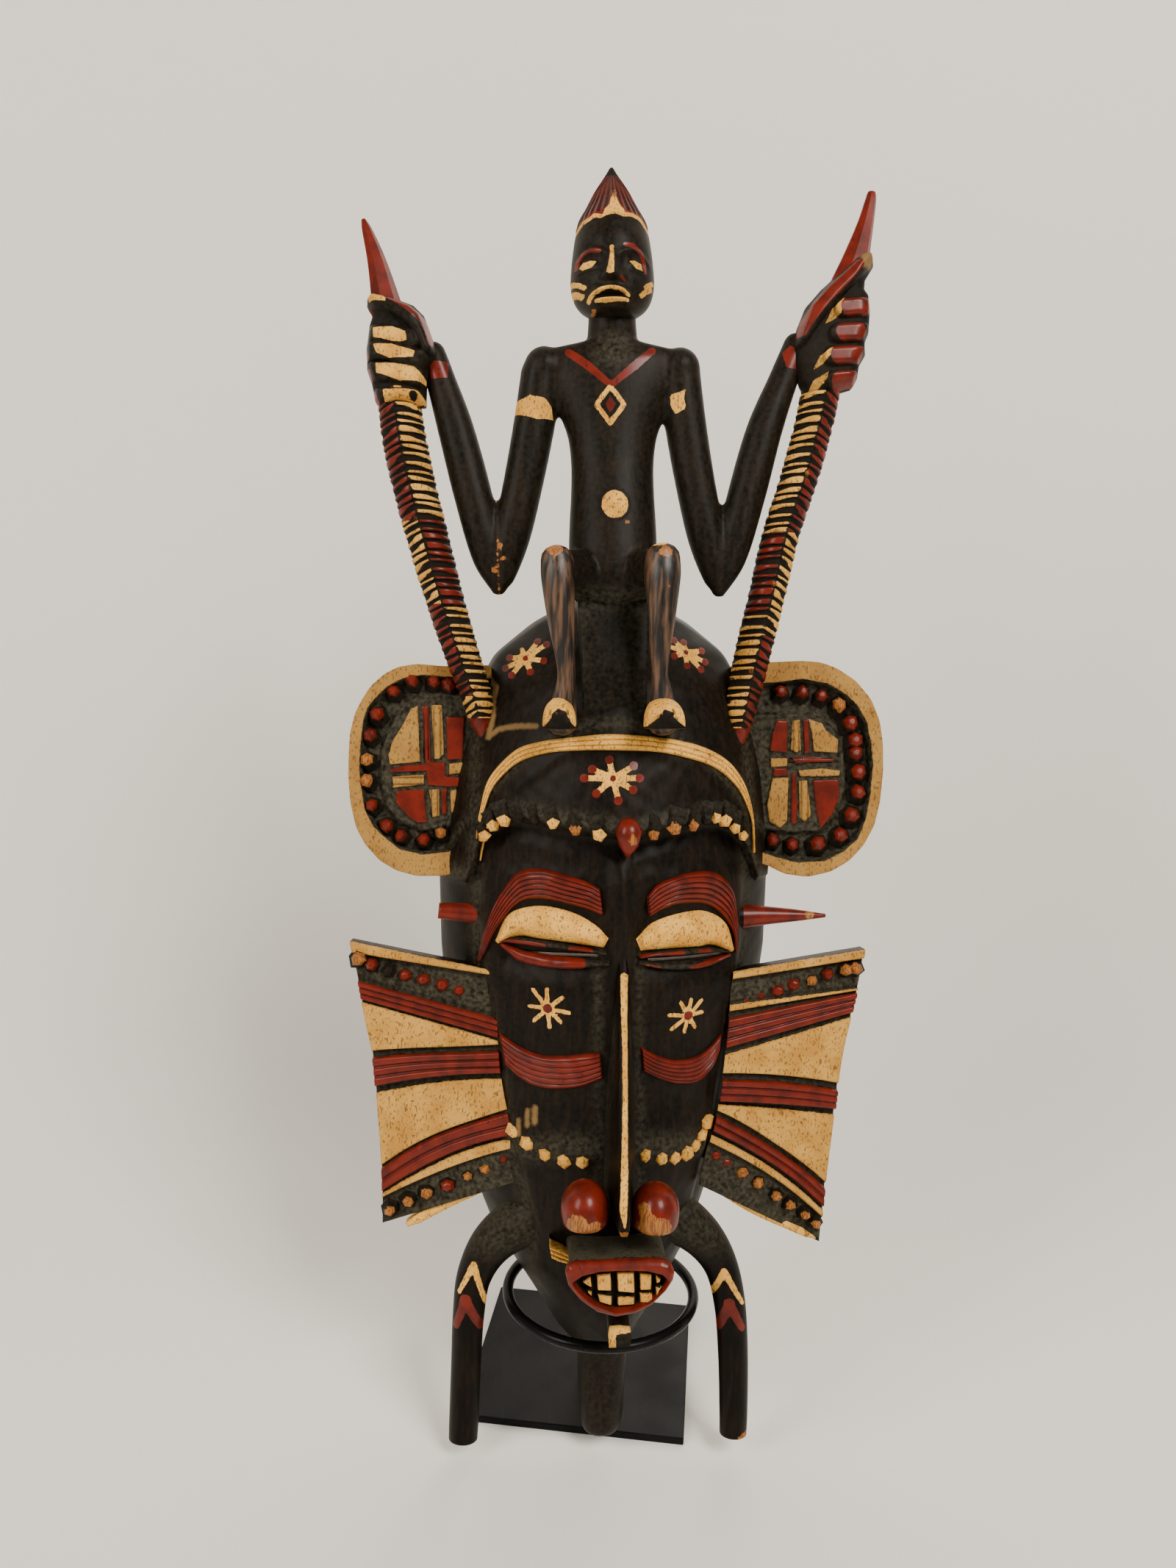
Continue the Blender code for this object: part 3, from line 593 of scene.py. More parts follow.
# The eye slits go right through the shell, so light from behind shows in them.
for name, low_x, high_x, z in (("left", -50, -8, 193.0), ("right", 16, 55, 190.4)):
    bpy.ops.object.select_all(action="DESELECT")
    bpy.ops.mesh.primitive_cube_add(size=1)
    cutter = bpy.context.object
    cutter.data.transform(
        SET_IN_STAND @ Matrix.Scale(MM, 4) @ Matrix.Translation(((low_x + high_x) / 2, -50,
                z)) @ Matrix.Diagonal((high_x - low_x, 60, 1.15, 1))
    )
    cut = shell.modifiers.new("eye_slit_" + name, "BOOLEAN")
    cut.operation = "DIFFERENCE"
    cut.object = cutter
    cut.solver = "EXACT"
    bpy.context.view_layer.objects.active = shell
    bpy.ops.object.modifier_apply(modifier=cut.name)
    bpy.data.objects.remove(cutter)


# Brows, lids, eye rims, cheek bands and the forehead band are carved proud of the face and painted; fine
# grooves run along the red ones, darkened with painted shade.
def edges_of(path, half_widths):
    """The two edges of a band, from its middle line and how wide it is on either side."""
    path, halves = np.array(path, float), np.array(half_widths, float)[:, None]
    ahead = np.gradient(path, axis=0)
    ahead /= np.linalg.norm(ahead, axis=1)[:, None]
    side = np.stack([-ahead[:, 1], ahead[:, 0]], axis=-1) * halves
    return path + side, path - side


def relief(upper, lower, rise, ribs=0, groove=0.0, crown=8.0, lift=0.0, end=1.2, wave=0.1):
    """Rings of a raised band on the face, and how deep in a groove each of its points is."""
    length = np.linalg.norm(np.diff(np.array(upper, float), axis=0), axis=1).sum()
    count = max(int(length / 0.55), 12)
    upper, lower = curve_through(upper, count), curve_through(lower, count)
    across = np.linspace(-1, 1, max(int(np.linalg.norm(upper - lower, axis=1).max() / 0.33), 10))
    share = ((across + 1) / 2)[None, :, None]
    spots = lower[:, None] + (upper - lower)[:, None] * share
    shape = 1 - np.abs(across) ** crown
    if ribs:
        wander = wave * np.sin(np.arange(count) / 9.0 + 0.7 * np.sin(np.arange(count) / 23.0))[:, None]
        cut = np.clip(np.cos(tau * ((across[None] + 1) / 2 * ribs + wander * (1 - across[None] ** 4))), 0,
            1) ** 3
    else:
        cut = np.zeros((count, len(across)))
    run = np.arange(count) * length / count
    fade = ease(np.minimum(run, length - run) / end)[:, None] * 0.9 + 0.1
    height = lift + (rise * shape[None] - groove * cut * shape[None]) * fade
    x, z = spots[..., 0], spots[..., 1]
    y = front(x, z)
    top = np.stack([x, y - height, z], axis=-1)
    below = np.stack([x, y + 3.0, z], axis=-1)[:, [-1, 0]]
    rings = np.concatenate([top, below], axis=1)
    hollow = np.concatenate([cut, np.zeros((count, 2))], axis=1).reshape(-1)
    return rings, np.concatenate([hollow, [0, 0]])


def relief_piece(name, *args, colour, depth=0.75, worn=BARE, **options):
    # The grooves' depth goes into the hollow attribute, which paints shade into them.
    rings, hollow = relief(*args, **options)
    return skin(name, [rings], hollow=hollow * depth, worn=worn, **{colour: 4.0})


relief_piece(
    "eyebrow_left",
    ((-67.2, 186), (-65.7, 194.3), (-62.4, 205.6), (-58.2, 216.0), (-51.5, 226.8), (-45.3, 233.0),
        (-34.9, 234.6), (-24.6, 232.4), (-14.2, 229.2), (-7.5, 225.9)),
    ((-66.0, 186), (-62.5, 192.5), (-58.3, 201.6), (-53.6, 208.7), (-48.4, 215.0), (-42.2, 219.0),
        (-32.9, 219.5), (-23.6, 217.9), (-14.3, 215.5), (-5.8, 212.6)),
    3.6, ribs=6, groove=1.2, colour="red",
)
relief_piece(
    "eyebrow_right",
    ((15.3, 221.3), (20.6, 227.4), (30.5, 231.1), (39.8, 232.6), (48.2, 232.0), (55.5, 227.8),
        (60.2, 220.5), (62.6, 208.0), (62.6, 195.0), (62.0, 190.5)),
    ((16.4, 210.9), (23.2, 214.5), (30.4, 216.5), (38.8, 216.7), (46.1, 215.4), (52.4, 211.2),
        (57.1, 205.9), (60.2, 199.6), (61.0, 193.3), (61.4, 190.5)),
    3.6, ribs=6, groove=1.2, colour="red",
)
relief_piece(
    "cheek_band_left", ((-56.4, 152.4), (-46.6, 147.1), (-36.2, 143.8), (-24.8, 144.2), (-14.4, 145.7),
        (-7.1, 146.9)),
    ((-53.4, 136.6), (-44.7, 130.2), (-36.1, 127.4), (-25.7, 127.6), (-15.3, 129.8), (-5.8, 133.8)), 2.8,
    ribs=6, groove=1.0, colour="red", depth=0.6,
)
relief_piece(
    "cheek_band_right", ((12.3, 149.0), (20.6, 144.0), (28.7, 141.0), (38.0, 140.5), (46.2, 143.1),
        (54.4, 150.0)),
    ((13.1, 137.1), (21.8, 132.3), (31.0, 128.7), (41.5, 127.7), (49.7, 133.2), (53.4, 141.2)), 2.8, ribs=6,
    groove=1.0, colour="red", depth=0.6,
)
relief_piece(
    "forehead_band",
    ((-66.9, 248), (-66.4, 254), (-65.4, 260.1), (-61.7, 274.9), (-55.2, 284.2), (-45.9, 292.0),
        (-34.8, 295.3), (-20.0, 297.1), (-3.3, 298.5), (15.3, 297.5), (32.1, 295.4), (46.1, 291.4),
        (57.3, 284.9),
     (64.9, 275.6), (69.0, 265.3), (70.8, 254.1), (71.4, 240)),
    ((-66.2, 248), (-65.1, 253.4), (-63.6, 258.4), (-59.2, 271.2), (-52.6, 279.6), (-44.1, 286.0),
        (-31.1, 289.7), (-16.3, 290.8), (2.3, 290.8), (19.1, 290.1), (34.0, 287.3), (46.1, 283.6),
        (55.0, 278.2),
     (62.2, 270.8), (66.6, 262.4), (69.2, 254.1), (70.0, 240)),
    2.6, ribs=3, groove=0.9, colour="cream", depth=0.4, wave=0.05,
)
relief_piece("brow_edge_left", *edges_of(((-57.6, 258.2), (-60.6, 254.6), (-62.6, 249.6), (-64.2, 243),
            (-65.2, 237)), (1.0, 0.9, 0.8, 0.6, 0.4)), 1.0, crown=3.0, lift=2.0, colour="cream", end=3.0)
relief_piece(
    "eyelid_left", *edges_of(((-57.0, 197.4), (-48.5, 206.0), (-36.0, 208.2), (-22.0, 206.4),
            (-11.0, 202.8), (-4.4, 199.6)), (1.0, 5.8, 8.0, 7.4, 5.2, 2.6)),
    5.0, crown=2.2, lift=0.6, colour="cream", end=4.0,
)
relief_piece(
    "eyelid_right", *edges_of(((11.2, 198.2), (20.0, 201.8), (32.0, 203.8), (43.0, 203.8), (52.0, 200.6),
            (60.0, 191.6)), (3.2, 6.8, 8.4, 8.8, 6.4, 0.9)),
    5.0, crown=2.2, lift=0.6, colour="cream", end=4.0,
)


EYE_RIMS = (
    ("left", "upper", ((-55.4, 198.2), (-45.0, 198.6), (-32.0, 197.4), (-19.0, 196.3), (-4.0, 194.6)),
        (0.9, 1.9, 1.7, 1.4, 0.8)),
    ("left", "lower", ((-55.2, 196.8), (-46.0, 191.6), (-33.0, 189.4), (-18.0, 189.0), (-2.6, 189.8)),
        (1.1, 2.9, 3.2, 2.7, 1.2)),
    ("right", "upper", ((11.4, 192.3), (22.0, 193.2), (35.0, 193.0), (47.0, 192.8), (57.6, 191.6)),
        (0.8, 1.4, 1.5, 1.4, 0.8)),
    ("right", "lower", ((11.0, 190.0), (22.0, 187.6), (35.0, 186.6), (48.0, 186.8), (58.4, 190.0)),
        (0.8, 1.8, 2.2, 1.9, 0.8)),
)
for side, edge, path, halves in EYE_RIMS:
    rings, hollow = relief(*edges_of(path, halves), 3.8, crown=3.0, lift=0.4)
    gaps = {
        ("left", "upper"): lambda p: any_of(stroke(p, [(-54, 197.8), (-34.5, 197)], 1.7),
            stroke(p, [(-21, 196), (-12, 195.6)], 1.4)),
        ("left", "lower"): lambda p: stroke(p, [(-56, 195), (-44, 190.6), (-30, 189.4), (-17, 189)], 3.0),
        ("right", "upper"): lambda p: any_of(stroke(p, [(12, 192.4), (33, 193)], 1.2),
            stroke(p, [(42, 193), (47, 193)], 1.0)),
        ("right", "lower"): lambda p: any_of(stroke(p, [(38, 185.6), (58, 189.4)], 1.1),
            stroke(p, [(12, 189), (22, 187)], 0.4)),
    }[side, edge]
    skin(f"eye_rim_{side}_{edge}", [rings], red=gaps, dust=0.6,
         worn=(lambda p: spot(p, 14.6, 186.9, 1.7)) if (side, edge) == ("right", "lower") else BARE)


# Rows of nubs: small facetted pegs cut along the brow, the jaw, the ears and the fans, no two quite
# alike, with their ends painted.
by_hand = np.random.default_rng(7)


def peg(base, tip, base_size, tip_size, sides, turned):
    """Rings of one nub from its root to its blunt end."""
    base, tip = np.array(base, float), np.array(tip, float)
    ahead = (tip - base) / np.linalg.norm(tip - base)
    across = np.cross(ahead, (0, 0, 1.0))
    across /= np.linalg.norm(across)
    upward = np.cross(across, ahead)
    turn = np.arange(sides) * tau / sides + turned
    uneven = by_hand.uniform(0.86, 1.12, sides)
    rings = []
    for share, swell in NUB_SHAPE:
        half_x = (base_size[0] + (tip_size[0] - base_size[0]) * share) * swell
        half_z = (base_size[1] + (tip_size[1] - base_size[1]) * share) * swell
        middle = base + (tip - base) * share
        rings.append(middle + across * (np.cos(turn) * uneven)[:,
                None] * half_x + upward * (np.sin(turn) * uneven)[:, None] * half_z)
    return np.array(rings)


NUB_SHAPE = ((0.0, 1.2), (0.3, 1.0), (0.55, 0.98), (0.8, 0.9), (0.95, 0.66), (1.0, 0.4))


def nub_row(name, places, colours, size, reach, drop=0.0, tip_from=0.55, shape=0.7, sides=7, turned=0.3,
    vary=0.14, flank_shade=0.6):
    """A row of nubs in one piece. colours holds r, c, w or . for each: red, cream, worn or bare."""
    runs = []
    for place in places:
        root = np.array(place, float)
        grown = 1 + by_hand.uniform(-vary, vary)
        end = root + np.array((0, -reach, -drop)) * (1 + by_hand.uniform(-vary, vary))
        runs.append(peg(root + np.array((0, 2.0, 0)), end, (size[0] * grown, size[1] * grown),
                (size[0] * shape * grown, size[1] * shape * grown), sides,
                turned + by_hand.uniform(-0.3, 0.3)))
    each = np.concatenate([np.repeat([share for share, _ in NUB_SHAPE], sides), [0, 1]])
    shares = np.tile(each, len(runs))
    marks = np.repeat(["rcw.".index(tone) for tone in colours], len(each))
    near_tip = (shares - tip_from) * reach
    # Painted shade: each nub's flanks near the root are darkened through the hollow attribute.
    return skin(
        name, runs, flat=True, red=np.where(marks == 0, near_tip, BARE),
        cream=np.where(marks == 1, near_tip, BARE),
        worn=np.where(marks == 2, near_tip - 0.2, BARE), dust=np.where(shares < tip_from, 0.5, 0.2),
        hollow=np.where(shares < tip_from - 0.12, flank_shade, 0.0),
    )


BROW_NUBS = ((-62.5, 252.0), (-58.1, 256.5), (-52.6, 259.4), (-45.7, 260.6), (-38.0, 259.4), (-29.3, 258.8),
    (-19.0, 256.0), (-8.2, 253.0),
             (17.2, 252.8), (27.4, 255.8), (36.7, 257.4), (43.6, 259.4), (48.6, 259.8), (53.6, 258.4),
    (59.1, 255.4), (63.6, 251.0))
nub_row("brow_nubs", [(x, front(x, z + 6) + 1.5, z + 3.0) for x, z in BROW_NUBS], "ccc..cwcwww.cccc",
    (5.4, 5.8), 6.6, drop=6.0, tip_from=0.76, shape=0.56, sides=5, flank_shade=0.1)
JAW_NUBS = ((-49.0, 104.0), (-42.0, 99.5), (-33.5, 95.5), (-24.5, 93.6), (-15.5, 93.8), (14.6, 96.4),
    (22.6, 93.8), (29.6, 92.6), (35.6, 93.6), (40.4, 96.0), (43.8, 100.4), (46.2, 106))
nub_row("jaw_nubs", [(x, front(x, z) + 1.2, z) for x, z in JAW_NUBS], "cccccccccccc", (3.7, 4.1), 3.6,
    drop=0.6, tip_from=0.0, shape=0.82, sides=6, turned=0.5)


centre_y = float(front(6.0, 252.0))
# The centre nub's root, where it meets the face, gets painted shade through the hollow attribute.
skin(
    "centre_nub", [np.array([
        [(5.6 + dx * size, centre_y + 2 - out, 250.5 + dz * size) for dx,
                    dz in ((-6.4, 3.4), (-3.4, 8.4), (0, 9.4), (3.6, 8.2), (6.4, 3.2), (4.4, -4),
                        (-0.6, -10.0), (-4.2, -4.4))]
        for size, out in ((1.0, 0), (1.0, 5), (0.86, 8.4), (0.5, 10.4), (0.2, 11.0))])],
    red=4.0, worn=lambda p: spot(p, 7.4, 249.6, 2.2, 1.3), hollow=lambda p: 0.5 * (p[:, 1] > centre_y - 1),
)


# The nose is a long narrow ridge that rises out to its tip, with one cream line down its front, and
# a red nostril bulb on either side whose lower half is rubbed to the wood.
NOSE = np.array(((206, 3.6, 4.5, 2.0, 58.0), (198, 3.6, 5.0, 2.0, 60.0), (184, 3.7, 5.6, 2.1, 69.0),
        (165, 3.2, 5.9, 2.1, 76.0), (150, 2.9, 6.4, 2.2, 80.5), (130, 2.6, 6.8, 2.2, 87.5),
                 (110, 2.3, 7.2, 2.3, 95.0), (94, 2.1, 7.6, 2.5, 100.5), (84, 1.9, 7.4, 2.7, 103.6),
        (77.5, 1.9, 6.6, 2.7, 103.5), (73.0, 1.9, 5.0, 2.0, 99.0)))
heights = np.linspace(206, 73, 170)
middle, root, crest, reach = (np.interp(-heights, -NOSE[:, 0], NOSE[:, k]) for k in range(1, 5))
outline = np.array([(-1, 0.0), (-1, 0.35), (-0.82, 0.7), (-0.62, 0.93), (-0.5, 0.985), (-0.25, 1.0),
        (0, 1.0), (0.25, 1.0), (0.5, 0.985), (0.62, 0.93), (0.82, 0.7), (1, 0.35), (1, 0.0)])
rings = []
for z, mid, wide, narrow, out in zip(heights, middle, root, crest, reach):
    blend = np.clip((outline[:, 1] - 0.35) / 0.65, 0, 1)
    half = wide + (narrow * 1.15 - wide) * blend
    x = mid + np.sign(outline[:, 0]) * np.abs(outline[:, 0]) ** 0.5 * half
    rings.append(np.stack([x, -42 - (out - 42) * outline[:, 1], np.full(len(x), z)], axis=-1))
NOSE_LINE = ((4.0, 184.0), (3.6, 170), (3.6, 150), (3.2, 130), (2.7, 118), (2.2, 101), (1.4, 86), (1.8, 79))
skin("nose", [within_wall(rings)], cream=lambda p: np.where(p[:, 1] < -60,
        stroke(p, NOSE_LINE, (1.9, 1.5, 1.2, 1.2, 1.3, 1.6, 1.7, 0.6)), BARE),
     worn=lambda p: np.where(p[:, 1] < -96, spot(p, 1.9, 74.5, 2.4), BARE),
    dust=lambda p: 0.7 * ease((p[:, 1] + 78) / 14) * ease((176 - p[:, 2]) / 20))
for name, x, z in (("left", -15.2, 81.5), ("right", 17.2, 80.0)):
    rows = curve_through(((-8.8, 7.6, 8.6), (-8.2, 9.4, 11.4), (-5.5, 10.6, 13.0), (0, 11.0, 13.2),
            (4.5, 10.2, 12.0), (8.4, 7.8, 9.4), (10.8, 4.6, 5.6), (11.8, 1.2, 1.6)), 30)
    turn = np.arange(40) * tau / 40
    bulb = [np.stack([x + rx * np.cos(turn), -84 + ry * np.sin(turn), np.full(40, z + up)], axis=-1) for up,
        rx, ry in rows]
    skin(
        "nostril_" + name, [np.array(bulb)], red=lambda p, z=z: np.where(p[:, 2] < z - 8.4, BARE, 4.0),
        worn=lambda p, x=x, z=z: only(any_of(spot(p, x - 3.6, z - 4.6, 4.6, 1.2),
                spot(p, x + 3.8, z - 6.2, 3.0, 1.3)) if x < 0 else any_of(spot(p, x - 3.2, z - 4.0, 5.6,
                    1.0), spot(p, x + 2.5, z - 4.6, 3.8, 1.2), spot(p, x - 5.5, z + 2.6, 2.6, 1.5)),
            -(p[:, 1] + 84)),
        dust=0.0,
    )


# A striped bar lies beside the mouth, and the mouth is a block that stands far out, with red lips
# round two rows of cream teeth in a dark hollow.
BAR_TOP, BAR_FOOT = ((-31.6, 54.6), (-26.0, 51.6), (-18.4, 46.4)), ((-30.4, 48.0), (-26.4, 45.6),
    (-21.8, 43.8))
bar_rings = []
for top, foot in zip(curve_through(BAR_TOP, 14), curve_through(BAR_FOOT, 14)):
    ring = []
    for across in np.linspace(-1, 1, 25):
        rib = abs(cos(1.5 * pi * across)) ** 0.7 * (1 - 0.2 * across**4)
        x, z = foot + (top - foot) * (across + 1) / 2
        ring.append((x, -62.0 - 1.5 * rib + 0.35 * (x + 32), z))
    ring += [(x, -44, z) for x, y, z in ring[::-1]]
    bar_rings.append(ring)


def bar_share(p):
    foot = np.interp(p[:, 0], (-30.4, -26.4, -21.8), (48.0, 45.6, 43.8))
    top = np.interp(p[:, 0], (-31.6, -26.0, -18.4), (54.6, 51.6, 46.4))
    return 2 * (p[:, 2] - foot) / (top - foot) - 1


# Painted shade darkens the two grooves between the bar's stripes.
skin("striped_bar", [np.array(bar_rings)], cream=lambda p: np.where(p[:, 1] < -54, 3.0, BARE),
     hollow=lambda p: 0.8 * ease(1 - np.abs(np.abs(bar_share(p)) - 0.36) / 0.2))


LIPS_OUT = ((-24.7, 57.4), (-23.2, 60.2), (-19.9, 61.4), (-9.2, 61.5), (1.6, 61.9), (12, 62.2), (19, 62.0),
    (22.9, 60.4), (24.7, 56.4), (23.9, 52.6),
            (20.9, 48.0), (14.4, 41.6), (6.9, 37.9), (-1.7, 36.4), (-10.3, 38.8), (-17.8, 44.3),
    (-23.1, 50.9))
LIPS_IN = ((-20.9, 52.4), (-16.6, 55.3), (-9.1, 57.1), (1.7, 57.5), (12.5, 57.0), (18.9, 55.2),
    (21.8, 52.2), (18.9, 47.1), (12.4, 42.8), (6.0, 40.2), (-2.7, 39.3), (-11.3, 42.7), (-17.7, 47.7))
TEETH = (
    ((-17.2, 51.6), (-13.0, 54.2), (-12.4, 48.7)),
    ((-10.4, 54.9), (-3.9, 55.4), (-3.6, 47.4), (-10.0, 47.6)),
    ((-1.2, 55.9), (6.6, 56.0), (6.9, 46.2), (-0.8, 47.0)),
    ((9.0, 55.4), (14.6, 55.0), (14.4, 47.6), (9.2, 47.4)),
    ((16.2, 54.7), (18.9, 52.8), (18.4, 51.0), (16.4, 50.2)),
    ((-15.0, 47.3), (-12.4, 47.4), (-12.4, 44.4)),
    ((-10.0, 45.9), (-3.5, 44.6), (-3.5, 40.6), (-9.2, 42.4)),
    ((-1.0, 44.2), (6.8, 44.2), (6.8, 41.0), (-1.0, 40.6)),
    ((9.0, 46.0), (14.9, 45.8), (14.6, 43.2), (9.2, 42.0)), ((16.2, 48.8), (19.2, 48.6), (16.4, 45.2)),
)


def outline_at(outline, count):
    """An outline resampled to evenly spaced points."""
    loop = np.array((*outline, outline[0]), float)
    steps = np.concatenate([[0], np.cumsum(np.linalg.norm(np.diff(loop, axis=0), axis=1))])
    spread = np.linspace(0, steps[-1], count, endpoint=False)
    even = np.stack([np.interp(spread, steps, loop[:, k]) for k in (0, 1)], axis=-1)
    for _ in range(3):
        even = (np.roll(even, 1, axis=0) + 2 * even + np.roll(even, -1, axis=0)) / 4
    return even


def disc_front(outline, count, rows, height):
    """Rings from an outline in to its centre, set forward by a height of (x, z)."""
    edge = outline_at(outline, count)
    centre = edge.mean(axis=0)
    shares = np.linspace(1, 0.012, rows)
    flat = centre + (edge - centre)[None] * shares[:, None, None]
    x, z = flat[..., 0], flat[..., 1]
    return np.stack([x, height(x, z), z], axis=-1)


def mouth_front(x, z):
    points = np.stack([x.ravel(), x.ravel() * 0, z.ravel()], axis=-1)
    outer, inner = patch(points, LIPS_OUT), patch(points, LIPS_IN)
    teeth = any_of(*(patch(points, tooth) for tooth in TEETH))
    lips = 2.6 * np.sqrt(np.clip(outer / 2.4, 0, 1)) * (1 - ease((inner + 0.8) / 1.4))
    hollow = -5.0 * ease((inner + 0.6) / 1.6)
    return (-97.2 - lips - hollow - 4.6 * ease((teeth + 0.5) / 1.1) * (inner > 0)).reshape(x.shape)


face_of_mouth = disc_front(LIPS_OUT, 220, 90, mouth_front)
edge = outline_at(LIPS_OUT, 220)
neck_of_mouth = []
for y, scale, drop in ((-42, 0.98, 5), (-60, 0.95, 3.6), (-78, 0.92, 1.6), (-88, 0.95, 0.4), (-93, 0.99, 0),
    (-96, 1.0, 0)):
    middle = np.array((0, 50))
    ring = middle + (edge - middle) * scale - np.array((0, drop))
    neck_of_mouth.append(np.stack([ring[:, 0], np.full(len(ring), y), ring[:, 1]], axis=-1))
# Painted shade darkens the hollow inside the lips, round the teeth.
skin(
    "mouth", [within_wall(np.concatenate([np.array(neck_of_mouth), face_of_mouth]))],
    red=lambda p: np.where(p[:, 1] < -94.6, only(2 - patch(p, LIPS_IN) - 1.6,
            any_of(patch(p, LIPS_OUT) + 0.9)), BARE),
    cream=lambda p: np.where(p[:, 1] < -94, any_of(*(patch(p, tooth) for tooth in TEETH)) - 0.1, BARE),
    dust=lambda p: np.where(p[:, 1] > -95, np.where(p[:, 2] > 54, 3.2, 0.4), 0.4),
    hollow=lambda p: np.where(p[:, 1] < -90, 0.8 * ease((patch(p,
                    LIPS_IN) - 0.2) / 1.0) * (1 - ease(any_of(*(patch(p,
                            tooth) for tooth in TEETH)) / 0.5 + 1)), 0),
)


# The chin: a prong below it, two legs that curve out and down, and a short peg that rests on the
# ring. A cream chevron and a red arrow are painted on each leg.
CHEVRONS = {
    "left": (((-77.0, 20.0), (-69.3, 35.0), (-63.4, 12.4)), ((-78.5, 3.0), (-73.6, 16.6), (-66.0, 1.8))),
    "right": (((48.6, 12.0), (56.0, 29.4), (66.0, 11.6)), ((53.6, -1.0), (58.9, 12.4), (65.6, -0.6))),
}
LEGS = {
    "left": ([(-26, -30, 60, 13), (-44, -30, 55, 13), (-60, -29, 43, 11), (-69.5, -28, 26, 8.9),
            (-72.6, -28, 6, 8), (-74.0, -28, -20, 7.6), (-75.0, -28, -44, 7.5), (-75.6, -28, -57.2, 7.3)]),
    "right": ([(20, -30, 60, 13), (34, -30, 54, 12.5), (47, -29, 43, 10.5), (56, -28, 28, 8.6),
            (60.4, -28, 8, 8), (62.0, -28, -18, 7.6), (62.2, -28, -44, 7.2), (62.0, -28, -57.4, 6.9)]),
}
for side, line in LEGS.items():
    line = np.array(line, float)
    cream_path, red_path = CHEVRONS[side]
    skin(
        "chin_leg_" + side, [within_wall(tube(line[:, :3], line[:, 3], sides=40, count=120))],
        cream=lambda p, path=cream_path: in_front(p - (0, 4, 0), stroke(p, path, (0.9, 1.8, 0.9))),
        red=lambda p, path=red_path: in_front(p - (0, 4, 0),
            any_of(stroke(p, path, (1.6, 2.6, 1.6)),
                stroke(p, [path[1], (path[1][0], path[1][1] - 3)], 3.0))),
        worn=(lambda p: only(spot(p, 67, -58, 3.2), -(p[:, 2] + 52))) if side == "right" else BARE,
        dust=lambda p: 0.9 * ease((p[:, 2] - 30) / 22),
    )
skin("prong", [tube([(-3, -24, 22), (-4, -23, -4), (-5, -22, -24), (-5.3, -22, -44), (-5.5, -22, -55),
                (-5.5, -22, -58.6)], (22, 14.6, 12.4, 11.4, 9.6, 5.2), sides=40, count=70)],
     dust=0.25)
peg_rings = []
for y, z in ((-92, 19.6), (-30, 28.4)):
    peg_rings.append([(-4.6, y, z), (-4.9, y, z + 4.4), (-4.2, y, z + 8.2), (0.6, y, z + 8.6),
            (5.0, y, z + 8.0), (5.6, y, z + 4.6), (5.2, y, z + 0.4), (0.4, y, z)])
peg_rings = curve_through(np.array(peg_rings).reshape(2, -1), 30).reshape(30, 8, 3)
skin("ring_peg", [peg_rings], cream=lambda p: np.where(p[:, 1] < -88,
        any_of(stroke(p, [(-4.6, 20), (-4.2, 27)], 3.2), stroke(p, [(-4, 28.4), (5, 28)], 1.6)), BARE),
     worn=lambda p: np.where(p[:, 1] < -90, spot(p, 2.6, 23.6, 2.8, 1.2) - 1.2, BARE), dust=0.3)


# Two short spikes stand out from the temples, red, the left one worn blunt.
skin("spike_left", [within_wall(tube([(-58, -30, 208.5), (-72, -31, 210), (-86.5, -32, 211.4)],
                (6.2, 4.9, 4.0), sides=20, count=24))],
     red=lambda p: -(p[:, 0] + 66), cream=lambda p: -(p[:, 0] + 86.2) * 3)
skin("spike_right", [within_wall(tube([(60, -30, 207), (76, -30, 207.6), (94, -30, 207.6),
                    (108, -30, 207.4)], (7.0, 5.0, 3.0, 1.0), sides=20, count=30, round_ends=0.8))],
     red=lambda p: p[:, 0] - 66, worn=lambda p: spot(p, 100, 208, 2.4))


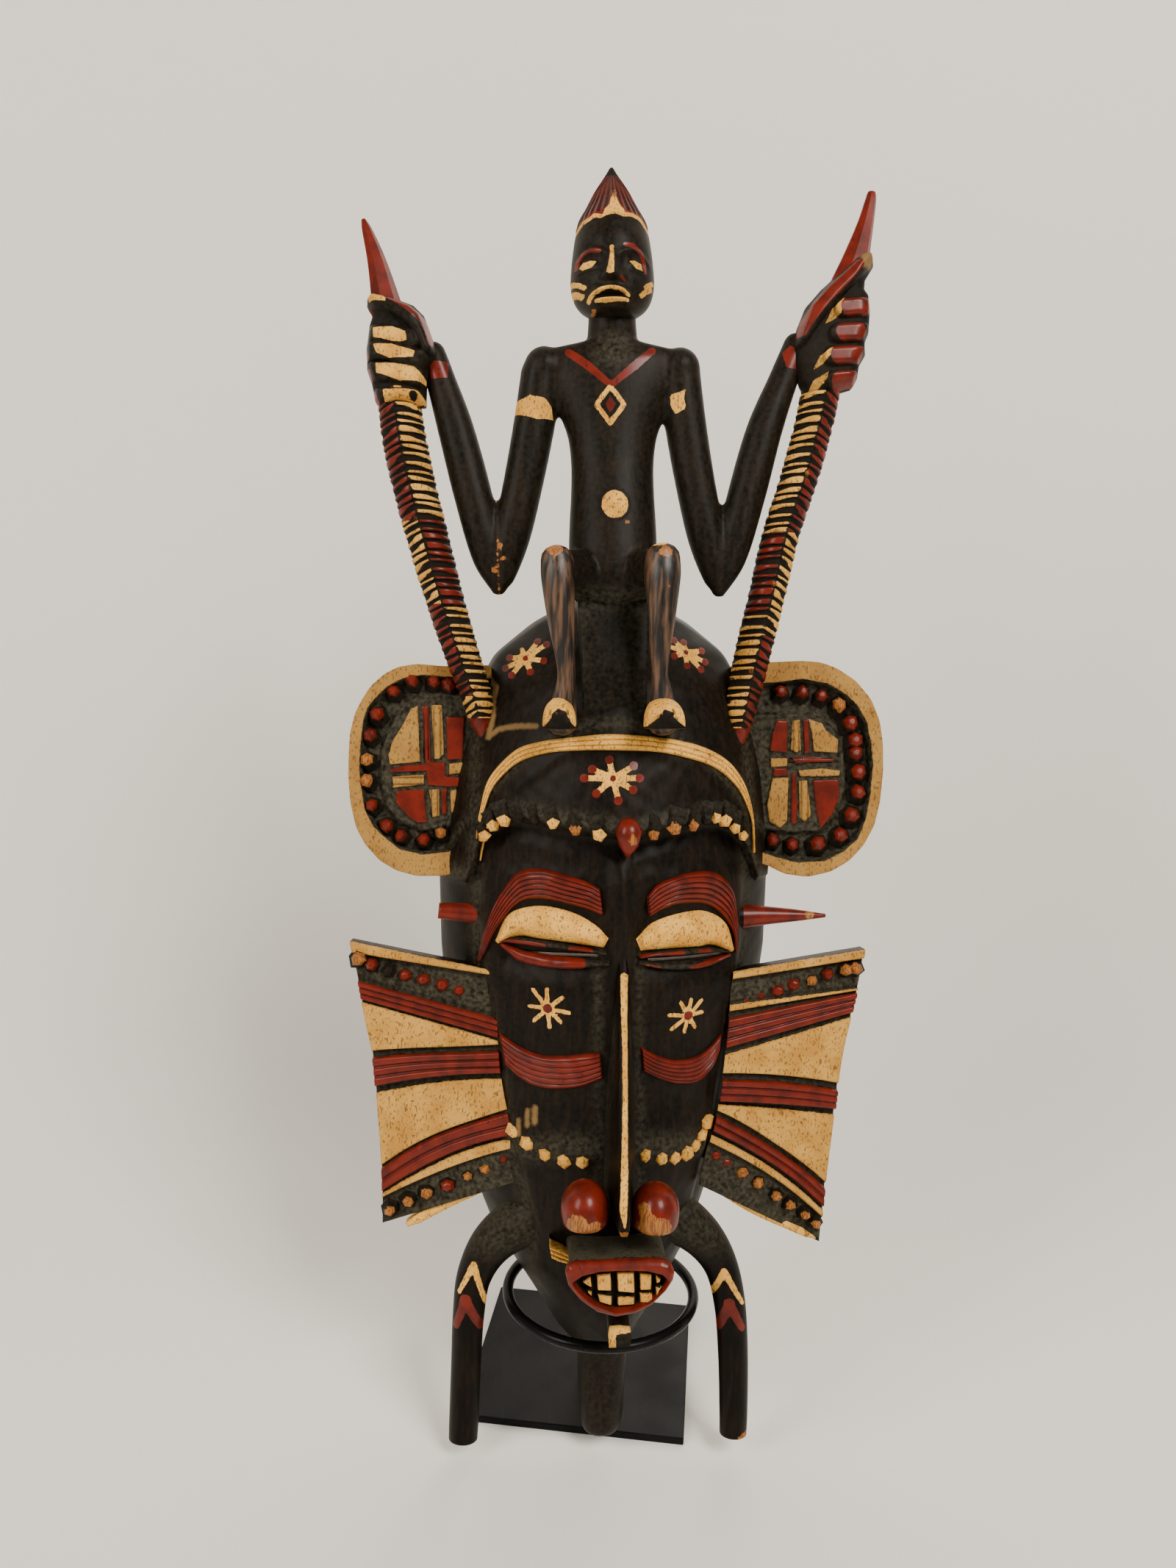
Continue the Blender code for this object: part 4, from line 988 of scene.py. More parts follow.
# The ears are round lobes: a broad cream rim, a dusty trough with red nubs, and a flat middle cut
# into red and cream panels and ribbed bars.
EARS = {
    "left": {
        "outline": ((-60, 334), (-83.5, 333.4), (-97.0, 334.6), (-106.3, 333.1), (-113.2, 329.6),
            (-120.2, 323.4), (-124.8, 316.1), (-128.0, 309.9), (-130.5, 299.8), (-131.2, 289.0),
                    (-131.4, 277.4), (-130.5, 265.7), (-127.9, 253.3), (-123.3, 244.4), (-116.0, 236.2),
            (-107.5, 231.1), (-97.5, 228.4), (-83.5, 228.4), (-74.2, 231.3), (-60, 236)),
        "trough": ((-56, 327), (-82.7, 328.0), (-93.9, 328.9), (-104.0, 327.2), (-112.2, 322.8),
            (-117.3, 317.8), (-121.5, 312.8), (-123.7, 306.3), (-124.9, 296.7), (-125.8, 282.8),
                   (-125.0, 273.5), (-123.2, 261.8), (-119.4, 253.9), (-114.2, 248.6), (-106.0, 241.9),
            (-94.3, 239.3), (-81.9, 240.6), (-72, 245.5), (-56, 250)),
        "floor": ((-63, 319), (-84, 320.5), (-98, 319), (-107, 311), (-112.5, 301), (-116, 289),
            (-116, 274), (-112.5, 262), (-106, 254.5), (-95, 250.6), (-84, 252), (-72, 256), (-63, 258)),
        "cream": (((-97.0, 313.7), (-96.0, 285.6), (-111.0, 284.3), (-111.7, 289.0), (-109.8, 295.9),
                (-104.7, 303.7), (-100.5, 312.2)),
            ((-90.0, 314.1), (-85.0, 314.1), (-84.0, 289.7), (-86.3, 287.0), (-89.0, 287.0)),
                  ((-109.9, 278.1), (-94.1, 279.2), (-94.1, 274.2), (-109.4, 272.7)),
            ((-81.3, 284.6), (-73.8, 285.4), (-73.6, 280.2), (-81.3, 279.2)),
                  ((-91.4, 271.5), (-86.6, 271.9), (-86.4, 258.3), (-89.9, 257.9)),
            ((-80.8, 271.1), (-73.4, 272.2), (-74.8, 260.2), (-80.6, 260.2))),
        "red": (((-94.7, 313.7), (-91.4, 313.7), (-90.6, 285.4), (-83.6, 285.4), (-83.2, 278.1),
                (-73.3, 277.6), (-73.4, 273.4), (-82.5, 273.0), (-92.1, 274.0), (-92.8, 281.0),
                (-111.4, 280.3), (-111.4, 281.8), (-104.8, 283.5), (-93.2, 284.4)),
                ((-82.7, 308.3), (-73.5, 307.9), (-74.7, 287.0), (-82.3, 286.6)),
            ((-107.8, 271.1), (-94.1, 271.9), (-92.5, 255.2), (-97.3, 254.8), (-101.9, 257.9),
                (-108.4, 265.7)),
                ((-85.4, 271.9), (-82.6, 271.8), (-82.9, 259.4), (-85.0, 259.4))),
        "ribs": ((-87.3, 300, 0, 1, 13.5, 2.6), (-102, 276, 1, 0, 8, 2.6), (-88.8, 265, 0, 1, 7, 2.5),
            (-92.8, 300, 0, 1, 14, 1.7)),
        "nubs": ((-81.2, 323.6), (-88.6, 325.0), (-99.4, 325.2), (-109.0, 320.2), (-117.1, 308.6),
            (-120.6, 298.6), (-122.4, 285.9), (-122.3, 275.1), (-119.9, 263.1), (-112.8, 253.0),
            (-105.5, 247.6), (-94.2, 245.8), (-85.5, 248.7), (-75.5, 251.7)),
        "tones": "rrrrrrwwrrrrwr",
    },
    "right": {
        "outline": ((62, 335), (87.3, 335.8), (96.4, 336.3), (105.9, 335.6), (114.6, 332.5), (124.1, 326.2),
            (132.0, 316.8), (136.4, 305.8), (138.0, 294.8), (138.2, 280.7), (136.6, 264.9), (133.8, 253.1),
            (128.3, 242.9), (121.1, 235.1),
                    (111.6, 229.6), (99.8, 226.9), (87.9, 228.5), (79.2, 232.9), (62, 238)),
        "trough": ((60, 324), (85.4, 325.4), (97.2, 327.0), (109.8, 324.7), (119.3, 319.2), (124.9, 313.7),
            (129.7, 305.1), (132.1, 293.3), (132.9, 283.8), (131.4, 268.1), (129.0, 255.5), (125.1, 246.1),
            (118.0, 239.8), (108.5, 235.1),
                   (94.2, 234.4), (82.3, 237.6), (60, 246)),
        "floor": ((68, 309), (88, 310), (104, 309.5), (113, 303), (118.2, 294), (119.5, 283), (119.3, 270),
            (115.5, 258.5), (107, 249.5), (92, 249), (80, 250.5), (68, 253)),
        "cream": (((92.3, 306.0), (96.1, 306.6), (96.7, 291.0), (94.3, 290.0), (91.7, 291.4)),
            ((100.8, 306.8), (107.3, 304.7), (109.7, 301.1), (115.6, 296.4), (115.4, 289.8), (103.4, 290.6),
                (102.4, 299.6)),
                  ((81.3, 287.1), (89.8, 287.2), (89.6, 283.1), (81.3, 282.4)),
            ((95.3, 280.9), (108.1, 281.9), (116.7, 280.7), (116.4, 278.2), (108.1, 277.8), (96.3, 278.0)),
                  ((82.1, 276.9), (90.4, 277.3), (89.6, 254.9), (86.1, 251.8), (80.6, 255.0),
                (79.4, 263.6)), ((95.7, 275.5), (100.1, 275.9), (101.9, 258.0), (98.7, 254.9),
                (96.3, 256.9))),
        "red": (((84.4, 306.5), (89.8, 306.0), (89.6, 289.8), (80.9, 291.0), (82.1, 299.6)),
            ((97.8, 306.5), (100.4, 307.0), (101.2, 289.8), (98.6, 289.8)),
            ((91.9, 287.5), (101.8, 287.8), (114.0, 286.9), (113.6, 285.3), (101.8, 284.9), (93.9, 284.3)),
                ((82.9, 282.0), (89.2, 282.0), (90.0, 278.1), (82.5, 278.1)),
            ((92.0, 279.6), (94.3, 279.6), (94.5, 266.7), (95.1, 265.1), (94.2, 253.7), (91.8, 254.1)),
            ((103.0, 275.9), (115.6, 276.4), (116.5, 268.2), (112.9, 258.8), (106.6, 251.3), (105.4, 257.2),
                (104.2, 262.7))),
        "ribs": ((94.2, 298, 0, 1, 8, 2.2), (98.6, 266, 0, 1, 10, 2.6), (102, 286, 1, 0, 11, 1.6)),
        "nubs": ((86.0, 319.8), (97.0, 319.4), (106.8, 317.9), (115.8, 312.8), (121.8, 304.2),
            (124.2, 295.2), (124.3, 288.6), (125.9, 279.2), (125.8, 269.0), (122.5, 257.3), (116.6, 247.1),
            (105.0, 242.8), (92.0, 242.5), (82.2, 244.9)),
        "tones": "rrrwrrrrrrrrrr",
    },
}


def ear_height(ear, x, z):
    """The Y of an ear's front: rim, trough, panel floor and the raised panels."""
    points = np.stack([x.ravel(), x.ravel() * 0, z.ravel()], axis=-1)
    trough, floor = patch(points, ear["trough"]), patch(points, ear["floor"])
    panels = any_of(*(patch(points, shape) for shape in (*ear["cream"], *ear["red"])))
    y = -29.0 + 5.5 * ease((trough + 0.3) / 2.2) - 3.0 * ease((floor + 1.5) / 3)
    y = y + 0.9 * ease((floor - 1) / 2) - 1.4 * ease((panels + 0.6) / 1.0) * (floor > 0)
    for at_x, at_z, along_x, along_z, half_length, half_width in ear["ribs"]:
        across = (x.ravel() - at_x) * along_z + (z.ravel() - at_z) * along_x
        along = np.abs((x.ravel() - at_x) * along_x + (z.ravel() - at_z) * along_z)
        groove = np.clip(np.cos(pi * across / half_width * 1.5 + pi), 0,
            1) ** 2 * (np.abs(across) < half_width) * (along < half_length)
        y = y + 0.8 * groove
    y = y + 0.25 * np.sin(x.ravel() * 0.9 + 1.7 * np.sin(z.ravel() * 0.5)) * ease(trough / 3) * (1
        - ease((floor + 1) / 2))
    return y.reshape(x.shape)


for side, ear in EARS.items():
    face_of_ear = disc_front(ear["outline"], 260, 84, lambda x, z, ear=ear: ear_height(ear, x, z))
    edge = outline_at(ear["outline"], 260)
    centre = edge.mean(axis=0)
    back = [np.stack([*(centre + (edge - centre) * scale).T, np.full(260, y)], axis=-1)[:,
            [0, 2, 1]] for scale, y in ((0.3, -13.0), (0.97, -13.0), (0.995, -14.0), (1.0, -16),
            (1.0, -26.6), (0.996, -28.2))]

    # Painted shade in the grooves of the ribbed bars, through the hollow attribute.
    def rib_painted_shade(points, ear=ear):
        painted_shade = np.zeros(len(points))
        for at_x, at_z, along_x, along_z, half_length, half_width in ear["ribs"]:
            across = (points[:, 0] - at_x) * along_z + (points[:, 2] - at_z) * along_x
            along = np.abs((points[:, 0] - at_x) * along_x + (points[:, 2] - at_z) * along_z)
            painted_shade = np.maximum(painted_shade, 0.75 * np.clip(np.cos(pi * across / half_width * 1.5 + pi), 0,
                    1) ** 3 * (np.abs(across) < half_width) * (along < half_length))
        return np.where(points[:, 1] < -22, painted_shade, 0)

    skin(
        "ear_" + side, [within_wall(np.concatenate([np.array(back), face_of_ear]))],
        cream=lambda p, ear=ear: np.where(p[:, 1] < -20,
            any_of(-patch(p, ear["trough"]) - 0.2, *(patch(p, shape) for shape in ear["cream"])),
            only(p[:, 1] * 0 + 1, -(p[:, 1] + 24.5))),
        red=lambda p, ear=ear: np.where(p[:, 1] < -20, any_of(*(patch(p, shape) for shape in ear["red"])),
            BARE),
        dust=lambda p: np.where(p[:, 1] < -20, 1.25, 0.2), hollow=rib_painted_shade,
    )
    nub_row(f"ear_nubs_{side}", [(x, -25.0, z) for x, z in ear["nubs"]], ear["tones"], (5.2, 5.4), 6.2,
        drop=-1.6, tip_from=0.66, shape=0.6, sides=6)


# The fans beside the face: ribbed red bands between smooth cream wedges, with a dusty trough of
# nubs along the top and the bottom, all cut in one thin board.
FANS = {
    "left": {
        "outer": ((-131.6, -20, 195.4), (-127.7, -20, 175.0), (-124.5, -20, 157), (-120.8, -20, 138.9),
            (-119.0, -20, 120), (-117.4, -20, 98.7), (-116.2, -20, 75), (-116.3, -20, 51.6)),
        "inner": ((-58, -34, 182.4), (-57, -34, 160), (-56, -34, 138), (-54, -34, 122), (-50, -34, 104),
            (-46, -34, 92), (-43, -34, 78)),
        # zone, from (outer z, inner z), to (outer z, inner z), height, ribs
        "zones": (("cream", 195.4, 182.4, 189.4, 179.6, 3.4, 0),
            ("trough", 189.4, 179.6, 176.2, 159.6, 0.0, 0), ("red", 175.2, 158.4, 165.8, 148.8, 3.4, 3),
            ("cream", 164.6, 147.6, 139.6, 145.4, 2.6, 0),
                  ("red", 136.4, 142.8, 122.0, 131.6, 4.6, 3), ("cream", 118.6, 128.8, 81.4, 113.2, 2.6, 0),
            ("red", 80.2, 112.0, 68.4, 100.8, 3.6, 2), ("cream", 67.4, 99.2, 65.0, 94.6, 3.0, 0),
            ("trough", 65.0, 94.6, 51.6, 82.4, -0.4, 0)),
        "nubs": ((-126.7, 186.5), (-120.3, 183.7), (-111.3, 180.9), (-103.5, 178.4), (-94.0, 176.3),
            (-84.8, 174.0), (-76.0, 171.2), (-65.9, 169.2)),
        "tones": "wr.rrrrr",
        "low_nubs": ((-112.0, 59.7), (-102.1, 64.6), (-92.7, 68.9), (-82.6, 72.8), (-72.4, 77.6),
            (-63.8, 81.5), (-54.0, 86.9)),
        "low_tones": "wwwrwwr",
        "strip": ((-104.0, 50.6), (-84, 62.2), (-66, 71.6), (-50, 80.4)),
    },
    "right": {
        "outer": ((130.0, -20, 189.4), (126.6, -20, 170), (123.4, -20, 156.8), (118.6, -20, 136),
            (115.4, -20, 114), (112.4, -20, 90), (109.8, -20, 68.5), (107.0, -20, 38.6)),
        "inner": ((60, -34, 181.0), (58, -34, 160), (56, -34, 140), (54, -34, 124), (51.4, -34, 108),
            (47, -34, 92), (43, -34, 74)),
        "zones": (("cream", 189.4, 181.0, 184.6, 177.0, 3.4, 0),
            ("trough", 184.6, 177.0, 170.0, 165.6, 0.0, 0), ("cream", 169.4, 164.4, 168.2, 160.8, 2.6, 0),
            ("red", 167.0, 157.4, 157.0, 142.6, 3.4, 3), ("cream", 154.8, 139.4, 120.6, 130.0, 2.6, 0),
                  ("red", 117.4, 127.2, 107.6, 116.4, 4.6, 3), ("cream", 104.6, 114.6, 69.6, 111.4, 2.6, 0),
            ("red", 66.8, 109.0, 57.2, 101.4, 3.6, 2), ("cream", 55.4, 99.8, 51.6, 95.8, 3.0, 0),
            ("trough", 51.6, 95.8, 38.6, 80.0, -0.4, 0)),
        "nubs": ((67.1, 164.6), (74.8, 167.3), (83.7, 169.4), (91.7, 172.3), (101.7, 174.3), (109.5, 177.2),
            (119.0, 179.1), (124.6, 179.8)),
        "tones": "rrrrwrww",
        "low_nubs": ((51.7, 87.6), (57.2, 83.5), (65.7, 77.8), (73.9, 72.0), (83.0, 65.2), (90.3, 60.4),
            (98.4, 54.7), (104.0, 50.1)),
        "low_tones": "rrwwwwww",
        "strip": ((104.6, 41.2), (90, 48.6), (72, 57.6), (58, 66.8), (46, 75.6)),
    },
}
BOARD_BACK, BOARD_HALF = 4.0, 4.0
for side, fan in FANS.items():
    rows = 250
    outer, inner = curve_through(fan["outer"], rows), curve_through(fan["inner"], rows)
    reach = np.linspace(0, 1, 84)
    sheet = inner[:, None] + (outer - inner)[:, None] * reach[None, :, None]
    outer_z, inner_z = outer[:, 2], inner[:, 2]

    def zone_maps(fan=fan, outer_z=outer_z, inner_z=inner_z, reach=reach, sheet=sheet):
        """Each zone's distance inside, in millimetres, at every point of the sheet."""
        order = np.arange(len(outer_z), dtype=float)
        maps = []
        for kind, out_high, in_high, out_low, in_low, height, ribs in fan["zones"]:
            def line(out_z, in_z):
                at_out = np.interp(-out_z, -outer_z, order)
                at_in = np.interp(-in_z, -inner_z, order)
                return at_in + (at_out - at_in) * reach[None]
            high, low = line(out_high, in_high), line(out_low, in_low)
            pitch = (inner_z[0] - inner_z[-1]) / len(order) * (1 - reach[None]) + (outer_z[0]
                - outer_z[-1]) / len(order) * reach[None]
            inside = np.minimum(order[:, None] - high, low - order[:, None]) * pitch
            share = np.clip((order[:, None] - high) / np.maximum(low - high, 1e-6), 0, 1)
            maps.append((kind, inside, share, height, ribs))
        return maps

    maps = zone_maps()
    height = np.zeros(sheet.shape[:2])
    grooves = np.zeros(sheet.shape[:2])
    red, cream = np.full(sheet.shape[:2], BARE), np.full(sheet.shape[:2], BARE)
    for kind, inside, share, stands, ribs in maps:
        mask = ease((inside + 0.4) / 1.1)
        if ribs:
            cut = np.clip(np.cos(tau * share * ribs), 0, 1) ** 2 * (inside > 0)
            height = np.maximum(height, stands * mask) - 1.5 * cut * mask * (share > 0.08) * (share < 0.92)
            # The grooves between the ribs also get painted shade through the hollow attribute.
            grooves = np.maximum(grooves, 0.7 * cut**2 * (share > 0.1) * (share < 0.9))
        else:
            height = np.maximum(height, stands * mask)
        if kind == "red":
            red = np.maximum(red, inside)
        if kind == "cream":
            cream = np.maximum(cream, inside - 0.1)
    front_y = sheet[..., 1] - BOARD_HALF - height
    top = np.stack([sheet[..., 0], front_y, sheet[..., 2]], axis=-1)
    back = np.stack([sheet[..., 0], sheet[..., 1] + BOARD_BACK, sheet[..., 2]], axis=-1)[:, ::-7]
    rings = np.concatenate([top, back], axis=1)
    behind = back.shape[:2]
    both = lambda shown, hidden: np.concatenate([np.concatenate([shown, hidden], axis=1).reshape(-1),
            [BARE, BARE]])
    skin("fan_" + side, [within_wall(rings)], red=both(red, np.full(behind, BARE)),
        cream=both(cream, np.full(behind, BARE)), hollow=np.maximum(both(grooves, np.zeros(behind)), 0),
         dust=np.maximum(both(np.where(red + cream > -6, 0.7, 1.25), np.full(behind, 0.2)), 0))
    nub_row(f"fan_nubs_{side}_upper", [(x, -26 - 0.12 * (130 - abs(x)) * 0.6, z) for x, z in fan["nubs"]],
        fan["tones"], (4.8, 4.4), 5.8, drop=-0.6, tip_from=0.6, shape=0.62, sides=6)
    nub_row(f"fan_nubs_{side}_lower", [(x, -26 - 0.12 * (130 - abs(x)) * 0.6, z) for x,
            z in fan["low_nubs"]], fan["low_tones"], (4.8, 4.2), 5.6, drop=-0.6, tip_from=0.72, shape=0.6,
        sides=6)
    strip = curve_through(fan["strip"], 60)
    strip_rings = []
    for share, (x, z) in zip(np.linspace(0, 1, 60), strip):
        swell = 2.4 * min(1.0, 0.35 + 6 * share, 0.35 + 6 * (1 - share))
        y = -22 - 10 * share
        strip_rings.append([(x + dx, y + dy, z + dz) for dx, dy,
                dz in ((-0.5, -3.4, swell), (0.3, -3.4, 0), (0.5, -3.0, -swell), (0.5, 4, -swell),
                    (-0.5, 4, swell))])
    # The strip's back gets a little painted shade.
    skin(f"fan_strip_{side}", [np.array(strip_rings)], cream=lambda p: np.full(len(p), 1.2),
        hollow=lambda p: 0.3 * (p[:, 1] > -22))


# The horns: a stack of slanted ribs that meet in a ridge down the front, the ribs on either side
# painted red or cream in turn, ending at the skull in a red point.
HORNS = {
    "left": {
        "line": ((-63.5, -34, 297, 2.0), (-65.0, -34.5, 306, 5.6), (-67.2, -35, 318, 8.0),
            (-74.5, -37, 340, 9.2), (-83, -39, 368, 10.0), (-90.5, -40, 396, 10.8), (-96.5, -42, 420, 11.0),
            (-101, -43, 442, 11.0), (-104, -45, 466, 10)),
        "out": (("red", 470, 402), ("cream", 402, 362), ("red", 362, 318), ("cream", 318, 290)),
        "in": (("cream", 470, 402), ("red", 402, 362), ("cream", 362, 290)),
    },
    "right": {
        "line": ((62.5, -34, 291, 2.2), (63.4, -34.4, 300, 5.4), (65.0, -35, 312, 8.0),
            (70.5, -37, 340, 9.4), (77, -39, 368, 9.4), (83.5, -40, 397, 9.6), (92, -42, 424, 9.8),
            (99.5, -43, 452, 9.8), (103.5, -45, 474, 9.6)),
        "in": (("cream", 480, 397), ("red", 397, 357), ("cream", 357, 286)),
        "out": (("red", 480, 397), ("cream", 397, 347), ("red", 347, 286)),
    },
}
RIB_COUNT, RIB_STEPS = 44, 10
for side, horn in HORNS.items():
    sign = -1 if side == "left" else 1
    line = np.array(horn["line"])
    count = RIB_COUNT * RIB_STEPS + 1
    drawn = curve_through(line, 400)
    run = np.concatenate([[0], np.cumsum(np.linalg.norm(np.diff(drawn[:, :3], axis=0), axis=1))])
    even = np.stack([np.interp(np.linspace(0, run[-1], count), run, drawn[:, k]) for k in range(4)],
        axis=-1)
    centres, radii = even[:, :3], even[:, 3]
    turn = np.arange(64) * tau / 64
    across, outward = np.cos(turn), np.sin(turn)
    lean = (across - 0.10 * sign) * sign
    slant = np.where(lean > 0, 1.1 * lean, -0.1 * lean)
    number = np.linspace(0, RIB_COUNT, count)[:, None]
    phase = number + slant[None] + 0.14 * np.sin(number * 1.9) + 0.10 * np.sin(number * 5.3 + lean[None]
        * 2)
    groove = np.clip((np.cos(tau * phase) + 0.35) / 0.9, 0, 1) * ease((number - 1.8) / 1.0)
    at_ridge = np.exp(-((lean / 0.09) ** 2)) * (outward > 0)
    deep = 0.05 + 0.10 * np.clip(outward, 0, 1)
    swell = radii[:, None] * (1 - deep[None] * groove * (1 - 0.3 * at_ridge[None])) * (1 + 0.01
        * np.sin(number * 3.1))
    depth = np.where(outward > 0, np.abs(outward) ** 1.15, np.abs(outward) ** 0.85 * 0.9)
    rings = centres[:, None] + np.stack([np.sign(across)[None] * np.abs(across)[None] * swell,
            -np.sign(outward)[None] * depth[None] * swell, np.zeros_like(swell)], axis=-1)
    width = 0.32 + 0.13 * np.sin(np.floor(phase + 0.5) * 2.7 + 1.0) + 0.08 * np.sin(phase * 11)
    on_rib = (width - groove) * 2.2 - 0.9 * at_ridge[None] - 0.5 * ease((np.abs(lean)[None] - 0.86) / 0.1)
    tone = {"red": np.full(groove.shape, BARE), "cream": np.full(groove.shape, BARE)}
    for columns, zones in (((lean > 0)[None], horn["out"]), ((lean <= 0)[None], horn["in"])):
        for kind, high, low in zones:
            zone = columns & (centres[:, 2:3] <= high) & (centres[:, 2:3] > low) & (outward > -0.25)[None]
            tone[kind][zone] = on_rib[zone]
    foot = centres[:, 2] < (307 if side == "left" else 302)
    tone["red"][foot] = 3.0
    tone["cream"][foot] = BARE
    flat = lambda values: np.concatenate([values.reshape(-1), [BARE, BARE]])
    worn_spots = [(-66.5, 322), (-68.5, 334), (-95, 403)] if side == "left" else [(94, 425), (79, 372),
        (68, 330)]
    # Painted shade darkens the grooves between the ribs, through the hollow attribute.
    skin("horn_" + side, [rings], red=flat(tone["red"]), cream=flat(tone["cream"]),
        hollow=np.maximum(flat(0.75 * groove**2), 0), dust=0.4,
         worn=lambda p, spots=worn_spots: only(any_of(*(spot(p, x, z, 2.0) for x, z in spots)) - 0.9,
            -(p[:, 1] + 40)))


# The fists hold the horns: each is one block with the fingers cut round it, a thumb laid up along
# the front with a red stripe and a pale nail, and the red horn tip standing out above.
FISTS = {
    "left": {
        "outline": ((-115.0, 510.8), (-118.1, 507.6), (-118.1, 503.7), (-115.5, 499.9), (-117.0, 495.1),
            (-118.6, 483.6), (-118.3, 474.1), (-115.8, 466.4), (-114.5, 458.7), (-112.0, 455.9),
                    (-89.9, 456.6), (-89.5, 466.6), (-88.5, 474.3), (-84.5, 478.2), (-84.0, 482.0),
            (-87.5, 491.6), (-90.7, 500.2), (-95.5, 504.9), (-103.1, 507.7)),
        "middle": -46,
        "fingers": (((-118.5, 489.2), (-106, 488.4), (-96.0, 486.4)),
            ((-119.0, 481.2), (-106, 480.2), (-92.5, 477.2)),
            ((-118.0, 471.6), (-102, 470.6), (-88.0, 467.6)),
            ((-116.0, 459.2), (-102, 458.8), (-88.0, 457.6))),
        "cream": (((-114.0, 491.2), (-104.6, 491.6), (-98.6, 489.4), (-97.9, 485.1), (-101.7, 484.3),
                (-114.0, 486.6)), ((-114.0, 483.4), (-105.4, 483.4), (-94.2, 480.2), (-94.9, 477.3),
                (-106.2, 476.8), (-112.4, 479.2)),
                  ((-112.8, 474.4), (-105.5, 474.6), (-95.0, 473.2), (-89.7, 468.7), (-89.4, 466.1),
                (-101.7, 466.4), (-112.5, 470.0)),
            ((-109.5, 462.0), (-98.8, 463.0), (-93.5, 462.3), (-88.9, 458.2), (-88.9, 455.6),
                (-100.3, 455.2), (-108.8, 455.3)),
                  ((-116.9, 507.6), (-107.8, 506.2), (-107.8, 503.0), (-116.1, 503.8))),
        "thumb": ((-116.5, 505.3), (-108, 503.6), (-98.5, 499.0), (-91.0, 492.5), (-87.6, 484)),
        "stripe": ((-107.8, 506.4), (-98.8, 501.6), (-90.4, 495.4), (-88.0, 489.7), (-87.0, 484.4)),
        "nails": (((-118.6, 489.5), (-118.2, 486)), ((-118.8, 481.5), (-118.2, 478)),
            ((-117.6, 472), (-116.6, 467.5)), ((-115.4, 462.0), (-113.6, 457.4))),
        "tip": ((-108.6, -46, 502, 8.2), (-109.9, -46, 510, 6.8), (-113.7, -46, 527, 4.6),
            (-118.0, -46, 541, 2.6), (-119.6, -46, 545.8, 1.3)),
        "wrist": ((-87.9, 478.0), (-79.3, 477.6), (-79.6, 470.4), (-87.0, 469.6)),
    },
    "right": {
        "outline": ((87.6, 487.7), (90.0, 496.1), (94.0, 506.2), (101.6, 514.9), (111.0, 523.6),
            (118.1, 531.2), (123.2, 533.2), (126.7, 532.5), (127.3, 525.8), (125.4, 523.3), (123.3, 519.9),
            (122.9, 514.9), (125.0, 512.0),
                    (125.7, 504.0), (125.1, 493.9), (123.2, 488.9), (123.4, 483.0), (120.4, 477.9),
            (119.6, 472.0), (117.0, 467.0), (108.1, 464.4), (95.3, 461.4), (91.3, 468.4), (88.4, 477.8)),
        "middle": -46,
        "fingers": (((111.0, 503.4), (117, 504.0), (125.0, 504.4)),
            ((108.0, 491.4), (114, 491.8), (125.0, 492.4)), ((105.6, 480.4), (112, 480.8), (123.6, 481.2)),
            ((106.4, 468.6), (112, 469.0), (119.6, 469.6))),
        "cream": (((102.3, 496.1), (105.4, 502.9), (111.2, 508.1), (109.2, 500.4), (105.8, 497.5)),
            ((96.3, 473.7), (99.6, 480.4), (105.3, 484.3), (105.1, 481.3), (100.5, 476.3)),
            ((93.8, 461.7), (96.3, 468.8), (103.7, 473.1), (102.2, 468.8), (98.0, 463.8))),
        "thumb": ((89.6, 490), (96.0, 500.5), (105.0, 511.0), (115.0, 520.5), (122.6, 526.6)),
        "stripe": ((90.8, 491.6), (93.6, 497.3), (98.4, 503.6), (105.0, 510.4), (112.4, 517.6),
            (117.8, 523.6)),
        "nails": (((113.6, 503.5), (120.2, 504.2)), ((111.2, 491.6), (117.0, 492.0)),
            ((108.6, 480.6), (116.2, 481.2)), ((109.4, 468.6), (114.4, 469.4))),
        "tip": ((113.8, -46, 517, 8.4), (118.0, -46, 528, 7.2), (123.2, -46, 546, 4.4),
            (126.0, -46, 558, 3.0), (126.6, -46, 561.6, 2.4)),
        "wrist": ((82.8, 483.8), (86.2, 487.0), (94.2, 482.2), (92.5, 475.8), (84.5, 476.6)),
    },
}


def cut_block(outline, front_height, back_height, count=200, rows=52):
    """A block cut to an outline, from its back round to its front."""
    faces = disc_front(outline, count, rows, back_height)[::-1], disc_front(outline, count, rows,
        front_height)
    return np.concatenate(faces)


